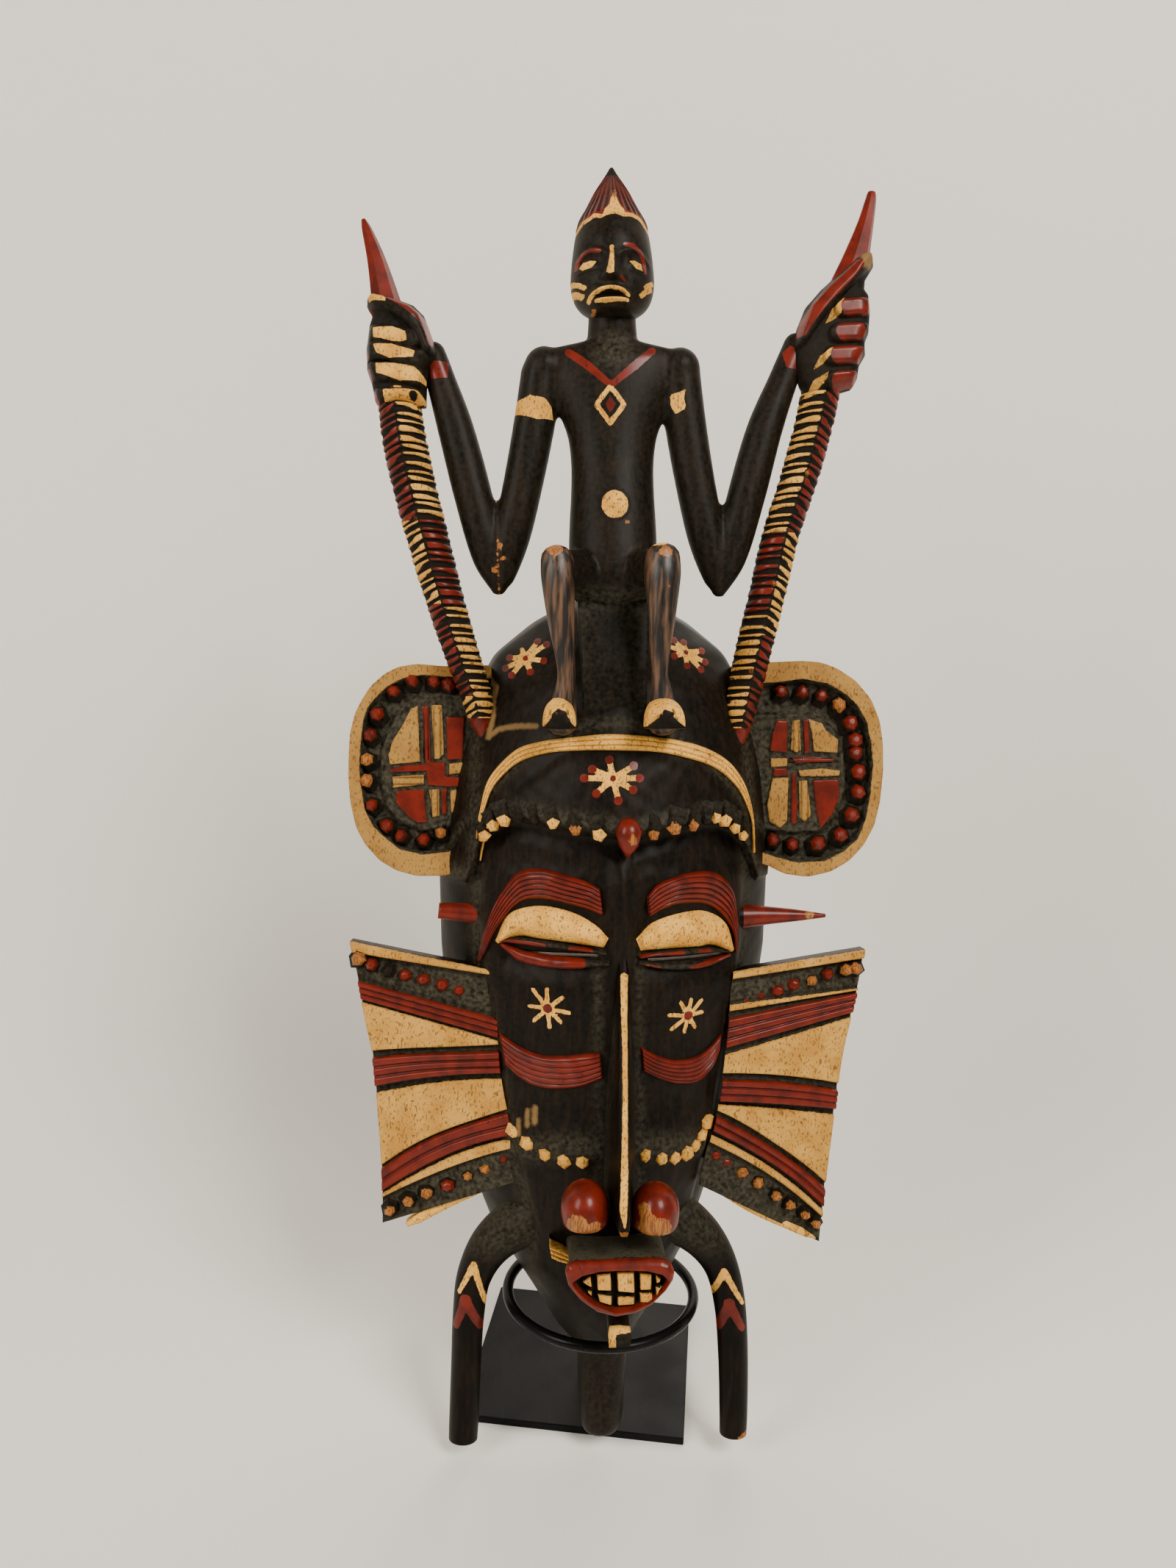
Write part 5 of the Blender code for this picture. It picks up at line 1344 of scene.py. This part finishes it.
for side, fist in FISTS.items():

    def over(p, fist=fist):
        """How far each finger's and the thumb's own swelling stands out."""
        fingers = any_of(*(stroke(p, path, 4.6) for path in fist["fingers"]))
        thumb = stroke(p, fist["thumb"], (3.4, 3.8, 4.4, 5.0, 4.6) if fist["outline"][0][0] < 0 else (4.8,
                5.4, 5.2, 4.6, 4.2))
        rounded = lambda inside, size: np.sqrt(np.clip(1 - (1 - np.clip(inside / size, 0, 1)) ** 2, 0, 1))
        return np.maximum(3.0 * rounded(fingers, 2.6), 4.4 * rounded(thumb, 3.4))

    def height(x, z, way, fist=fist, over=over):
        p = np.stack([x.ravel(), x.ravel() * 0, z.ravel()], axis=-1)
        inside = np.clip(patch(p, fist["outline"]) / 8.0, 0, 1)
        dome = np.sqrt(1 - (1 - inside) ** 2)
        return (fist["middle"] + way * (8.5 * dome + over(p) * ease(inside * 2.5))).reshape(x.shape)

    # Painted shade between the fingers and the thumb, and in the hole of the left fist.
    def gap_shade(p, fist=fist):
        own = any_of(*(stroke(p, path, 4.6) for path in fist["fingers"]), stroke(p, fist["thumb"], 4.6))
        return 0.8 * ease(1 - np.clip(own, -2, 2) / 1.2)

    hole = (-95.2, 459.8) if side == "left" else (0, 0)
    skin(
        "fist_" + side, [cut_block(fist["outline"], lambda x, z, h=height: h(x, z, -1),
                lambda x, z, h=height: h(x, z, 1))],
        cream=lambda p, fist=fist, hole=hole: np.where(p[:, 1] < -47,
            only(any_of(*(patch(p, shape) for shape in fist["cream"])), -spot(p, *hole, 1.9)), BARE),
        red=lambda p, fist=fist, side=side: np.where(p[:, 1] < (-40 if side == "left" else -47),
            any_of(stroke(p, fist["stripe"], (1.4, 1.6, 2.0, 1.6, 1.2) if side == "left" else (2.4, 2.8,
                        3.0, 2.8, 2.6, 2.2)),
                                                                *(stroke(p, path, 1.6 if side == "left"
                        else 4.5) for path in fist["nails"])), BARE),
        ochre=(lambda p: np.where(p[:, 1] < -47, patch(p,
                    ((118.2, 529.6), (124.9, 530.2), (125.6, 523.9), (119.7, 521.6))),
                BARE)) if side == "right" else BARE,
        hollow=lambda p, g=gap_shade, hole=hole: np.where(p[:, 1] < -47,
            np.maximum(g(p) * 0.6, 0.95 * ease((spot(p, *hole, 1.9) + 0.3) / 0.6)), 0.2), dust=0.3,
    )
    tip = np.array(fist["tip"], float)
    skin("horn_tip_" + side, [tube(tip[:, :3], tip[:, 3], sides=7, count=12, round_ends=0.8)], flat=True,
        red=4.0)


# The seated figure: trunk, shoulders, bent arms and thighs are cut from the same block and run into
# one another, with cream armbands, a red necklace, a diamond pendant and a cream navel.
TRUNK = np.array(((358, 11, 10, -48), (364, 17.0, 15.5, -48.5), (373, 20.6, 18.6, -48.5),
        (388, 21.4, 18.5, -48), (402, 21.0, 17, -47), (416, 20.3, 15.5, -46), (430, 20.2, 14.6, -45),
        (444, 22.0, 14, -45), (458, 27.5, 13.8, -45),
                  (470, 33, 13.4, -45), (479, 36, 12.4, -45), (484.0, 34.5, 10.4, -45),
        (486.8, 23, 9.4, -45), (489, 13.4, 10, -45), (494, 12.0, 11.4, -45), (504, 11.6, 11.8, -45),
        (512, 12, 12, -45)))
levels = curve_through(TRUNK, 120)
turn = np.arange(72) * tau / 72
trunk = np.array([np.stack([half_width * np.cos(turn), y - half_depth * np.sin(turn), np.full(72, z)],
            axis=-1) for z, half_width, half_depth, y in levels])
ARMS = {
    "left": ((-34.0, 474), (-37.5, 452), (-42.6, 425), (-49.0, 396), (-54.6, 376), (-55.5, 369.5),
        (-60.5, 386), (-68.0, 416), (-76.0, 447), (-83.0, 470), (-87.5, 484)),
    "right": ((32.5, 475), (35.5, 452), (40.0, 425), (46.0, 396), (51.6, 376), (52.5, 369), (58.0, 386),
        (66.0, 416), (74.5, 447), (83.5, 471), (91, 490)),
}
limbs = [trunk]
for side, line in ARMS.items():
    sign = -1 if side == "left" else 1
    upper = np.array([(x, -45 + 2.5 * share, z) for share, (x, z) in zip(np.linspace(0, 1, 6), line[:6])],
        float)
    lower = np.array([(x, -42.5 - 0.5 * share, z) for share, (x, z) in zip(np.linspace(0, 1, 6), line[5:])],
        float)
    limbs += [tube(upper, (10.4, 10.2, 9.8, 9.2, 7.0, 3.6), sides=40, count=70, round_ends=0.8),
        tube(lower, (3.6, 8.2, 9.4, 8.9, 7.4, 6.6), sides=40, count=80, round_ends=0.8),
              ball((sign * 33.0, -45, 476.2), (10.0, 11, 10.6))]
for x in (-27.0, 20.8):
    limbs.append(tube([(x * 0.3, -48, 372), (x * 0.72, -64, 375), (x * 0.98, -82, 374)], (13, 10.5, 7.6),
            sides=32, count=30, facing=(0, 0, 1), round_ends=0.5))
PENDANT = ((-1.7, 464.0), (4.9, 455.2), (-1.7, 446.4), (-8.2, 455.2))
DIAMOND = ((-1.7, 459.4), (0.9, 455.4), (-1.7, 451.0), (-4.0, 455.4))
ARMBANDS = (((-47.5, 459.0), (-43.2, 459.6), (-40.5, 460.6), (-40.2, 463.0), (-39.6, 460.4), (-32.8, 459.4),
        (-29.6, 455.8), (-28.8, 450.1), (-36.4, 449.2), (-44.1, 451.6), (-48.5, 453.2)),
            ((27.3, 461.7), (31.8, 462.6), (34.9, 464.0), (33.9, 459.9), (34.8, 454.8), (30.0, 452.4),
        (27.9, 456.3)))


def seen(p, nearest, inside):
    return np.where(p[:, 1] < nearest, inside, BARE)


run_together(
    "figure_body", limbs, 1.3, 8,
    red=lambda p: any_of(seen(p, -48, any_of(stroke(p, [(-21.4, 481.0), (-11.6, 473.4), (-2.8, 465.6)],
                    (1.9, 2.0, 1.5)), stroke(p, [(18.6, 482.0), (9.4, 473.4), (-0.2, 465.2)],
                    (1.9, 2.0, 1.5)), patch(p, DIAMOND))),
                         *(seen(p, -38, patch(p, fist["wrist"]) + 0.3) for fist in FISTS.values())),
    cream=lambda p: any_of(seen(p, -50, any_of(stroke(p, [*PENDANT, PENDANT[0]], 1.15),
                spot(p, 0.2, 407.2, 6.3, 1.08))), *(seen(p, -44, patch(p, band)) for band in ARMBANDS)),
    # Painted shade round the pendant's diamond, round the navel and along the creases by the arms.
    hollow=lambda p: np.maximum.reduce([
        np.where(p[:, 1] < -50, 0.8 * ease((patch(p, PENDANT) - 1.0) / 0.4) * (1 - ease(patch(p,
                            DIAMOND) + 1)), 0),
        np.where(p[:, 1] < -50, 0.6 * ease(1 - np.abs(spot(p, 0.2, 407.2, 6.3, 1.08) + 1.0) / 0.9), 0),
        0.75 * ease(1 - np.abs(stroke(p, [(-23.5, 447), (-25.5, 456), (-28, 464)], 0)) / 1.0) * (p[:,
                    1] < -44),
        0.75 * ease(1 - np.abs(stroke(p, [(21.5, 446), (24.5, 456), (27.5, 464)], 0)) / 1.0) * (p[:,
                    1] < -44)]),
    dust=lambda p: 0.22 + 0.9 * ease(1 - np.hypot(p[:, 0],
            (p[:, 2] - 482)) / 15) + 0.8 * ease((371 - p[:, 2]) / 8) * (np.abs(p[:, 0]) < 22),
    worn=lambda p: any_of(seen(p, -50, spot(p, 5.9, 398.6, 0.9)), *(seen(p, -34, inside) for inside in (
        stroke(p, [(-56.2, 417), (-56.2, 412)], 0.5),
                stroke(p, [(-55.8, 396), (-55.5, 386), (-55.6, 372), (-55.0, 362)], 0.35),
                spot(p, -54.2, 389, 1.2), spot(p, -53.0, 383.5, 1.0), spot(p, -57.6, 378, 1.3),
                spot(p, 52, 360.4, 1.0)))),
)


# The head: broad at the jaw under a pointed ribbed hat, with red brows over cream eyes, a cream line
# down the nose, cream lips round a dark mouth and two cream stripes on each cheek.
HEAD = np.array(((497.6, 4, 5, -57), (498.6, 9.5, 9.6, -54.5), (501.0, 13.6, 13.8, -51.5),
        (504.6, 17.0, 17.2, -49.0), (509.5, 19.3, 19.6, -47.4), (516, 20.3, 20.8, -46.5),
        (525, 19.8, 20.8, -46), (533, 18.9, 20.0, -45.4),
                 (539, 17.9, 18.8, -45), (546, 16.2, 17.0, -44.4), (553, 12.6, 13.4, -43.4),
        (562, 8.3, 8.9, -42), (569.6, 3.9, 4.2, -41.4), (575.0, 0.9, 0.9, -41)))
BRIM = ((-17.4, 539.6), (-14.8, 541.8), (-11.3, 542.6), (-9.4, 543.8), (-6.0, 542.6), (-3.6, 543.6),
    (0.8, 544.2), (4.0, 543.4), (8.9, 544.2), (12.8, 543.4), (16.8, 539.8))
levels = curve_through(HEAD, 220)
around = 220
turn = np.arange(around) * tau / around
rings = []
for z, half_width, half_depth, y in levels:
    x, out = half_width * np.cos(turn), half_depth * np.sin(turn)
    brim = np.interp(x, *np.array(BRIM).T) - 1
    facing = ease((out - 3) / 7)
    ribbed = 0.42 * np.cos(turn * 30) * ease((z - brim - 2) / 2) * ease((573 - z) / 6) * min(half_width
        / 10, 1)
    aside = np.abs(x + 0.8)
    socket = -2.3 * np.exp(-((aside - 10.4) / 5.6) ** 2 - ((z - 520.6) / 4.6) ** 2)
    lids = 1.7 * np.exp(-((aside - 11.2) / 4.2) ** 4 - ((z - 519.0) / 2.2) ** 2)
    bridge = 4.4 * np.exp(-(((x + 1.2) / 2.6) ** 2)) * ease((z - 509.6) / 3) * ease((529 - z) / 14)
    wings = 2.4 * np.exp(-((aside - 3.2) / 2.2) ** 2 - ((z - 511.8) / 2.2) ** 2)
    muzzle = 2.4 * np.exp(-(((x + 2.5) / 11) ** 4) - ((z - 503.0) / 5.6) ** 4)
    lips = 1.7 * np.exp(-(((z - 506.2 + 0.02 * (x + 2.4) ** 2) / 1.3) ** 2)
        - ((x + 2.4) / 9.8) ** 6) + 1.7 * np.exp(-(((z - 501.4) / 1.2) ** 2) - ((x + 2.0) / 9.0) ** 6)
    gape = -2.2 * np.exp(-(((z - 503.8) / 1.2) ** 2) - ((x + 2.4) / 7.4) ** 4)
    brow = 1.4 * np.exp(-((aside - 10.4) / 7.2) ** 4 - ((z - 525.0 + 0.045 * (aside - 9) ** 2) / 1.8) ** 2)
    forehead = 0.9 * np.exp(-((x / 13) ** 4) - ((z - 533) / 5) ** 2)
    push = (socket + lids + bridge + wings + muzzle + lips + gape + brow
        + forehead) * facing + ribbed * facing
    scale = 1 + ribbed * (1 - facing) / max(half_width, 3)
    rings.append(np.stack([x * scale, y - out * scale - push, np.full(around, z)], axis=-1))


HAT_PEAK = ((-5.4, 543.2), (-4.2, 546.6), (-2.0, 549.4), (-1.2, 553.6), (0.4, 556.6), (1.8, 553.4),
    (3.0, 549.6), (4.8, 546.2), (6.0, 543.6))


def head_cream(p):
    band = any_of(stroke(p, BRIM[:5], 1.2), stroke(p, BRIM[4:8], 0.9), stroke(p, BRIM[7:], 1.2))
    peak = patch(p, HAT_PEAK)
    eyes = any_of(patch(p, ((-16.4, 519.0), (-14.5, 521.0), (-10.8, 521.3), (-8.2, 520.0), (-10.6, 517.5),
                (-14.9, 517.2))), patch(p, ((6.9, 520.2), (9.6, 521.3), (12.6, 519.9), (13.9, 516.7),
                (10.4, 517.1))))
    nose_line = stroke(p, [(-1.3, 525.8), (-1.5, 519.7), (-1.8, 516.1), (-2.2, 513.6)],
        (1.0, 1.0, 1.4, 1.8))
    lips = any_of(stroke(p, [(-11.6, 502.0), (-11.8, 502.8), (-11.2, 503.6), (-9.6, 504.6), (-6.3, 505.9),
                (-2.7, 506.5), (2.0, 506.0), (6.7, 503.8)], (0.7, 1.1, 1.0, 0.9, 0.9, 0.9, 0.9, 0.7)),
                  stroke(p, [(-8.6, 501.3), (-4.0, 501.0), (1.0, 501.1), (6.0, 501.5)],
            (0.8, 1.0, 0.9, 0.8)))
    stripes = any_of(stroke(p, [(-20.4, 514.3), (-13.8, 508.8)], 0.95),
        stroke(p, [(-20.4, 510.4), (-14.8, 505.4)], 0.95), stroke(p, [(17.8, 510.8), (12.9, 505.6)], 1.0),
        stroke(p, [(18.8, 513.8), (14.8, 509.9)], 0.8))
    return seen(p, -45, any_of(band, peak, eyes, nose_line, lips, stripes))


def head_red(p):
    brows = any_of(stroke(p, [(-17.7, 519.6), (-16.8, 522.5), (-14.4, 525.0), (-10.7, 525.6),
                (-7.0, 524.6)], 0.95), stroke(p, [(5.0, 527.6), (8.8, 527.5), (12.5, 525.3), (14.3, 521.0),
                (14.8, 516.6)], (0.9, 1.4, 1.2, 0.9, 0.7)),
                   stroke(p, [(3.0, 511.4), (4.6, 510.4)], 0.7))
    hat = only(p[:, 2] - np.interp(p[:, 0], *np.array(BRIM).T) - 1.0, 569.0 - p[:, 2],
        -np.where(p[:, 1] < -45, patch(p, HAT_PEAK), BARE))
    return any_of(seen(p, -45, brows), hat)


# Painted shade in the hat's grooves, in the mouth and along the eyes.
def head_painted_shade(p):
    angle = np.arctan2(-(p[:, 1] + 43.5), p[:, 0])
    in_hat = ease((p[:, 2] - np.interp(p[:, 0], *np.array(BRIM).T) - 1.6) / 1.4)
    grooves = (0.34 + 0.6 * ease((-np.cos(angle * 30) + 0.5) / 0.9)) * in_hat * (1 - ease(np.where(p[:,
                    1] < -45, patch(p, HAT_PEAK), BARE) + 1))
    mouth = np.where(p[:, 1] < -55, 0.9 * ease((stroke(p, [(-8.6, 503.2), (-2.4, 504.0), (4.4, 503.4)],
                    1.1) + 0.4) / 0.8), 0)
    lines = np.where(p[:, 1] < -50, 0.8 * ease((any_of(stroke(p, [(-16.8, 515.8), (-8.2, 516.0)], 0.2),
                    stroke(p, [(7.4, 515.8), (14, 514.6)], 0.2)) + 0.5) / 0.5), 0)
    return np.maximum.reduce([grooves, mouth, lines])


skin("figure_head", [np.array(rings)], cream=head_cream, red=head_red, hollow=head_painted_shade,
    worn=lambda p: seen(p, -45, any_of(spot(p, 0.4, 556.6, 1.3, 1.8), spot(p, -9.6, 498.6, 0.9))),
    dust=0.25)


# The seat and the folded legs: a block between the shins carries the figure, and the shins are
# rubbed brown and glossy, worn to the wood at the knees, over small feet with cream toes.
polished = carved_finish("carved_wood_rubbed", 1.0, 0.3, 0.5)
seat = []
for z in np.linspace(293, 372, 60):
    half_width = np.interp(z, (293, 310, 330, 356, 372), (13.0, 15.2, 15.6, 17.0, 17.5))
    reach = np.interp(z, (293, 300, 308, 330, 360, 372), (50, 58, 64, 65.5, 60, 52))
    sweep_round = [(half_width * sx, -reach + 1.6 * abs(sx) ** 4, z) for sx in np.linspace(-1, 1, 25)]
    seat.append([(-half_width, -20, z), *sweep_round, (half_width, -20, z)])
skin("seat_block", [within_wall(seat)], dust=lambda p: 0.35 + 0.5 * ease((p[:,
                2] - 345) / 20) + 0.5 * ease((304 - p[:, 2]) / 6))
SHINS = {
    "left": ((-27.4, -84, 377.6, 7.4), (-27.0, -85, 370, 7.7), (-26.2, -85, 358, 6.9),
        (-25.0, -84.5, 345, 5.7), (-23.6, -83.5, 332, 4.4), (-23.2, -82.5, 324, 4.2),
        (-24.0, -80.5, 315, 5.4), (-25.4, -78, 304, 7.4)),
    "right": ((20.9, -84, 378.4, 7.9), (20.6, -85, 370, 8.3), (20.4, -85, 358, 7.1),
        (19.9, -84.5, 345, 5.7), (19.5, -83.5, 332, 4.2), (19.6, -82.5, 324, 4.0), (20.6, -80.5, 315, 5.6),
        (21.4, -78, 304, 7.6)),
}
for side, line in SHINS.items():
    line = np.array(line, float)
    top_x = line[0, 0]
    skin(
        "shin_" + side, [tube(line[:, :3], line[:, 3], sides=40, count=110, round_ends=0.85)],
        finish=polished, dust=lambda p: 0.8 * ease((318 - p[:, 2]) / 8),
        worn=(lambda p: only(any_of(spot(p, -28.4, 381, 4.6, 0.75),
                    stroke(p, [(-28.5, 381), (-28, 372)], (2.2, 0.2))) - 0.7,
                -(p[:, 1] + 80))) if side == "left" else
             (lambda p: only(any_of(spot(p, 21.5, 380.0, 4.2, 0.7), spot(p, 22.4, 364, 1.4)) - 0.8,
                -(p[:, 1] + 80))),
        cream=(lambda p: only(spot(p, 18.6, 385.0, 4.6, 0.42),
                p[:, 2] - 382.6)) if side == "right" else BARE,
    )
    middle_x, spread = (-26.5, 7.6) if side == "left" else (21.2, 9.3)
    foot = []
    for y, wide, top in ((-56, 0.62, 312), (-62, 0.72, 315), (-70, 0.82, 316), (-78, 0.92, 315.6),
        (-84, 0.99, 314.8), (-88.5, 1.0, 313.4), (-91.6, 0.97, 311.0), (-93.0, 0.9, 307.6)):
        half_width = spread * wide
        curve = [(middle_x + half_width * cos(t), y,
                300.6 + (top - 300.6) * max(sin(t), 0) ** 0.62) for t in np.linspace(0, pi, 41)]
        foot.append(curve + [(middle_x - half_width * 0.5, y, 300.4),
                (middle_x + half_width * 0.5, y, 300.4)])
    foot = np.array(foot)
    foot = curve_through(foot.reshape(len(foot), -1), 56).reshape(56, -1, 3)
    skin(
        "foot_" + side, [foot],
        cream=lambda p, m=middle_x, s=spread, side=side: seen(p, -80,
            only(stroke(p, [(m - s * 0.86, 301.6), (m - s * 0.7, 308.6), (m - s * 0.1, 312.6),
                        (m + s * 0.62, 309.6), (m + s * 0.84, 302)],
                    (2.0, 2.4, 2.8, 2.2, 1.6) if side == "left" else (4.4, 4.2, 3.2, 2.6, 2.2)),
                p[:, 2] - 301.4)),
        worn=lambda p, m=middle_x: seen(p, -86, any_of(spot(p, m - 1.6, 305.6, 1.0, 1.6),
                spot(p, m + 1.8, 305.0, 0.8, 1.6))),
        # Painted shade in the grooves between the toes.
        hollow=lambda p, m=middle_x, side=side: np.where((p[:, 1] < -86) & (p[:, 2] < 310),
            0.9 * ease((np.cos((p[:, 0] - m + 0.4) * 1.55) - 0.1) / 0.4) * ease((5.4 - np.abs(p[:,
                            0] - m + (0 if side == "left" else -1.5))) / 1.5) * ease((310 - p[:, 2]) / 2),
            0),
        dust=0.2,
    )


# The stand: a square foot plate with a post welded behind its middle, and a ring of round rod on
# the post that carries the chin, all in black lacquer with fine scratches.
def black_lacquer(name, roughness, scratch):
    material = bpy.data.materials.new(name)
    material.use_nodes = True
    tree = material.node_tree
    shader = tree.nodes["Principled BSDF"]
    shader.inputs["Specular IOR Level"].default_value = 0.12
    place = tree.nodes.new("ShaderNodeTexCoord").outputs["Object"]
    smear = soft_step(tree, noise(tree, place, 35, 4), 0.35, 0.7)
    fine = soft_step(tree, noise(tree, place, 900, 2, (1, 0.06, 1)), 0.62, 0.72)
    colour = mix_colour(tree, smear, (0.0022, 0.0022, 0.0022), (0.0040, 0.0040, 0.0040))
    colour = mix_colour(tree, maths(tree, "MULTIPLY", fine, scratch), colour, (0.022, 0.022, 0.022))
    link(tree, colour, shader.inputs["Base Color"])
    shine = maths(tree, "ADD", maths(tree, "MULTIPLY", smear, 0.14), roughness)
    link(tree, maths(tree, "ADD", shine, maths(tree, "MULTIPLY", fine, 0.15), clamp=True),
        shader.inputs["Roughness"])
    bump = tree.nodes.new("ShaderNodeBump")
    bump.inputs["Strength"].default_value = 0.15
    bump.inputs["Distance"].default_value = 0.0002
    link(tree, noise(tree, place, 700, 3), bump.inputs["Height"])
    link(tree, bump.outputs["Normal"], shader.inputs["Normal"])
    return material


RING_CENTRE, RING_OUTER, ROD = (0.0042, -0.0550, 0.0800), 0.0505, 0.00275
rod_lacquer = black_lacquer("black_lacquer_rod", 0.22, 0.2)
plate_lacquer = black_lacquer("black_lacquer_plate", 0.42, 0.5)
bpy.ops.object.select_all(action="DESELECT")
bpy.ops.mesh.primitive_torus_add(
    location=RING_CENTRE, major_radius=RING_OUTER - ROD, minor_radius=ROD, major_segments=144,
    minor_segments=28,
)
ring = bpy.context.object
ring.name = "ring_of_rod"
bpy.ops.object.transform_apply(location=True, rotation=True, scale=True)
bpy.ops.object.shade_smooth()
ring.data.materials.append(rod_lacquer)
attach(ring, "root")
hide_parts("stand_ring")
for node, finish in (("stand_post", rod_lacquer), ("stand_plate", plate_lacquer)):
    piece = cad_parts[node]
    piece.data.materials.clear()
    piece.data.materials.append(finish)


# The floor and the wall behind are one pale sweep, lit by large soft lights as in the photograph. The
# wall is there only from its front, so that the back of the mask can be seen and lit from behind.
def pale(name, colour):
    material = bpy.data.materials.new(name)
    material.use_nodes = True
    tree = material.node_tree
    shader = tree.nodes["Principled BSDF"]
    shader.inputs["Base Color"].default_value = (*colour, 1)
    shader.inputs["Roughness"].default_value = 0.9
    behind = tree.nodes.new("ShaderNodeNewGeometry").outputs["Backfacing"]
    shadow = tree.nodes.new("ShaderNodeLightPath").outputs["Is Shadow Ray"]
    either = tree.nodes.new("ShaderNodeMixShader")
    link(tree, maths(tree, "MAXIMUM", behind, shadow), either.inputs[0])
    link(tree, shader.outputs[0], either.inputs[1])
    link(tree, tree.nodes.new("ShaderNodeBsdfTransparent").outputs[0], either.inputs[2])
    link(tree, either.outputs[0], tree.nodes["Material Output"].inputs["Surface"])
    return material


profile = [(-2.2, 0.0), (0.10, 0.0)] + [(0.10 + 0.22 * sin(t),
        0.22 - 0.22 * cos(t)) for t in np.linspace(0.15, pi / 2, 12)] + [(0.32, 2.6)]
sweep = bpy.data.meshes.new("sweep")
count = len(profile)
floor_behind = [(-3, 0.1, -0.0005), (3, 0.1, -0.0005), (3, 4, -0.0005), (-3, 4, -0.0005)]
sweep.from_pydata(
    [(x, y, z) for x in (-3, 3) for y, z in profile] + floor_behind, [],
    [(count + k, count + k + 1, k + 1,
            k) for k in range(count - 1)] + [tuple(2 * count + k for k in range(4))],
)
sweep.shade_smooth()
sweep.materials.append(pale("pale_sweep", (0.90, 0.87, 0.81)))
backdrop = bpy.data.objects.new("backdrop", sweep)
bpy.context.scene.collection.objects.link(backdrop)
backdrop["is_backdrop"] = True


def softbox(name, place, aim, size, power, tint):
    light = bpy.data.lights.new(name, "AREA")
    light.shape = "RECTANGLE"
    light.size, light.size_y = size
    light.energy = power
    light.color = tint
    lamp = bpy.data.objects.new(name, light)
    lamp.location = place
    lamp.rotation_euler = (Vector(aim) - Vector(place)).to_track_quat("-Z", "Y").to_euler()
    bpy.context.scene.collection.objects.link(lamp)


softbox("light_above_right", (0.75, -1.25, 1.55), (0, 0, 0.35), (0.7, 0.7), 36, (1.0, 0.955, 0.89))
softbox("light_left", (-1.2, -1.0, 1.1), (0, 0, 0.35), (0.6, 0.9), 19, (1.0, 0.94, 0.86))
softbox("light_behind", (0.5, 1.6, 1.3), (0, 0, 0.35), (0.8, 0.8), 9, (1.0, 0.96, 0.9))
world = bpy.data.worlds.new("room")
world.use_nodes = True
world.node_tree.nodes["Background"].inputs["Color"].default_value = (0.80, 0.78, 0.74, 1)
world.node_tree.nodes["Background"].inputs["Strength"].default_value = 0.16
bpy.context.scene.world = world


visual_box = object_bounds()
as_lists = lambda box: [[float(value) for value in corner] for corner in box]
{"cad": as_lists(cad_box), "visual": as_lists(visual_box)}
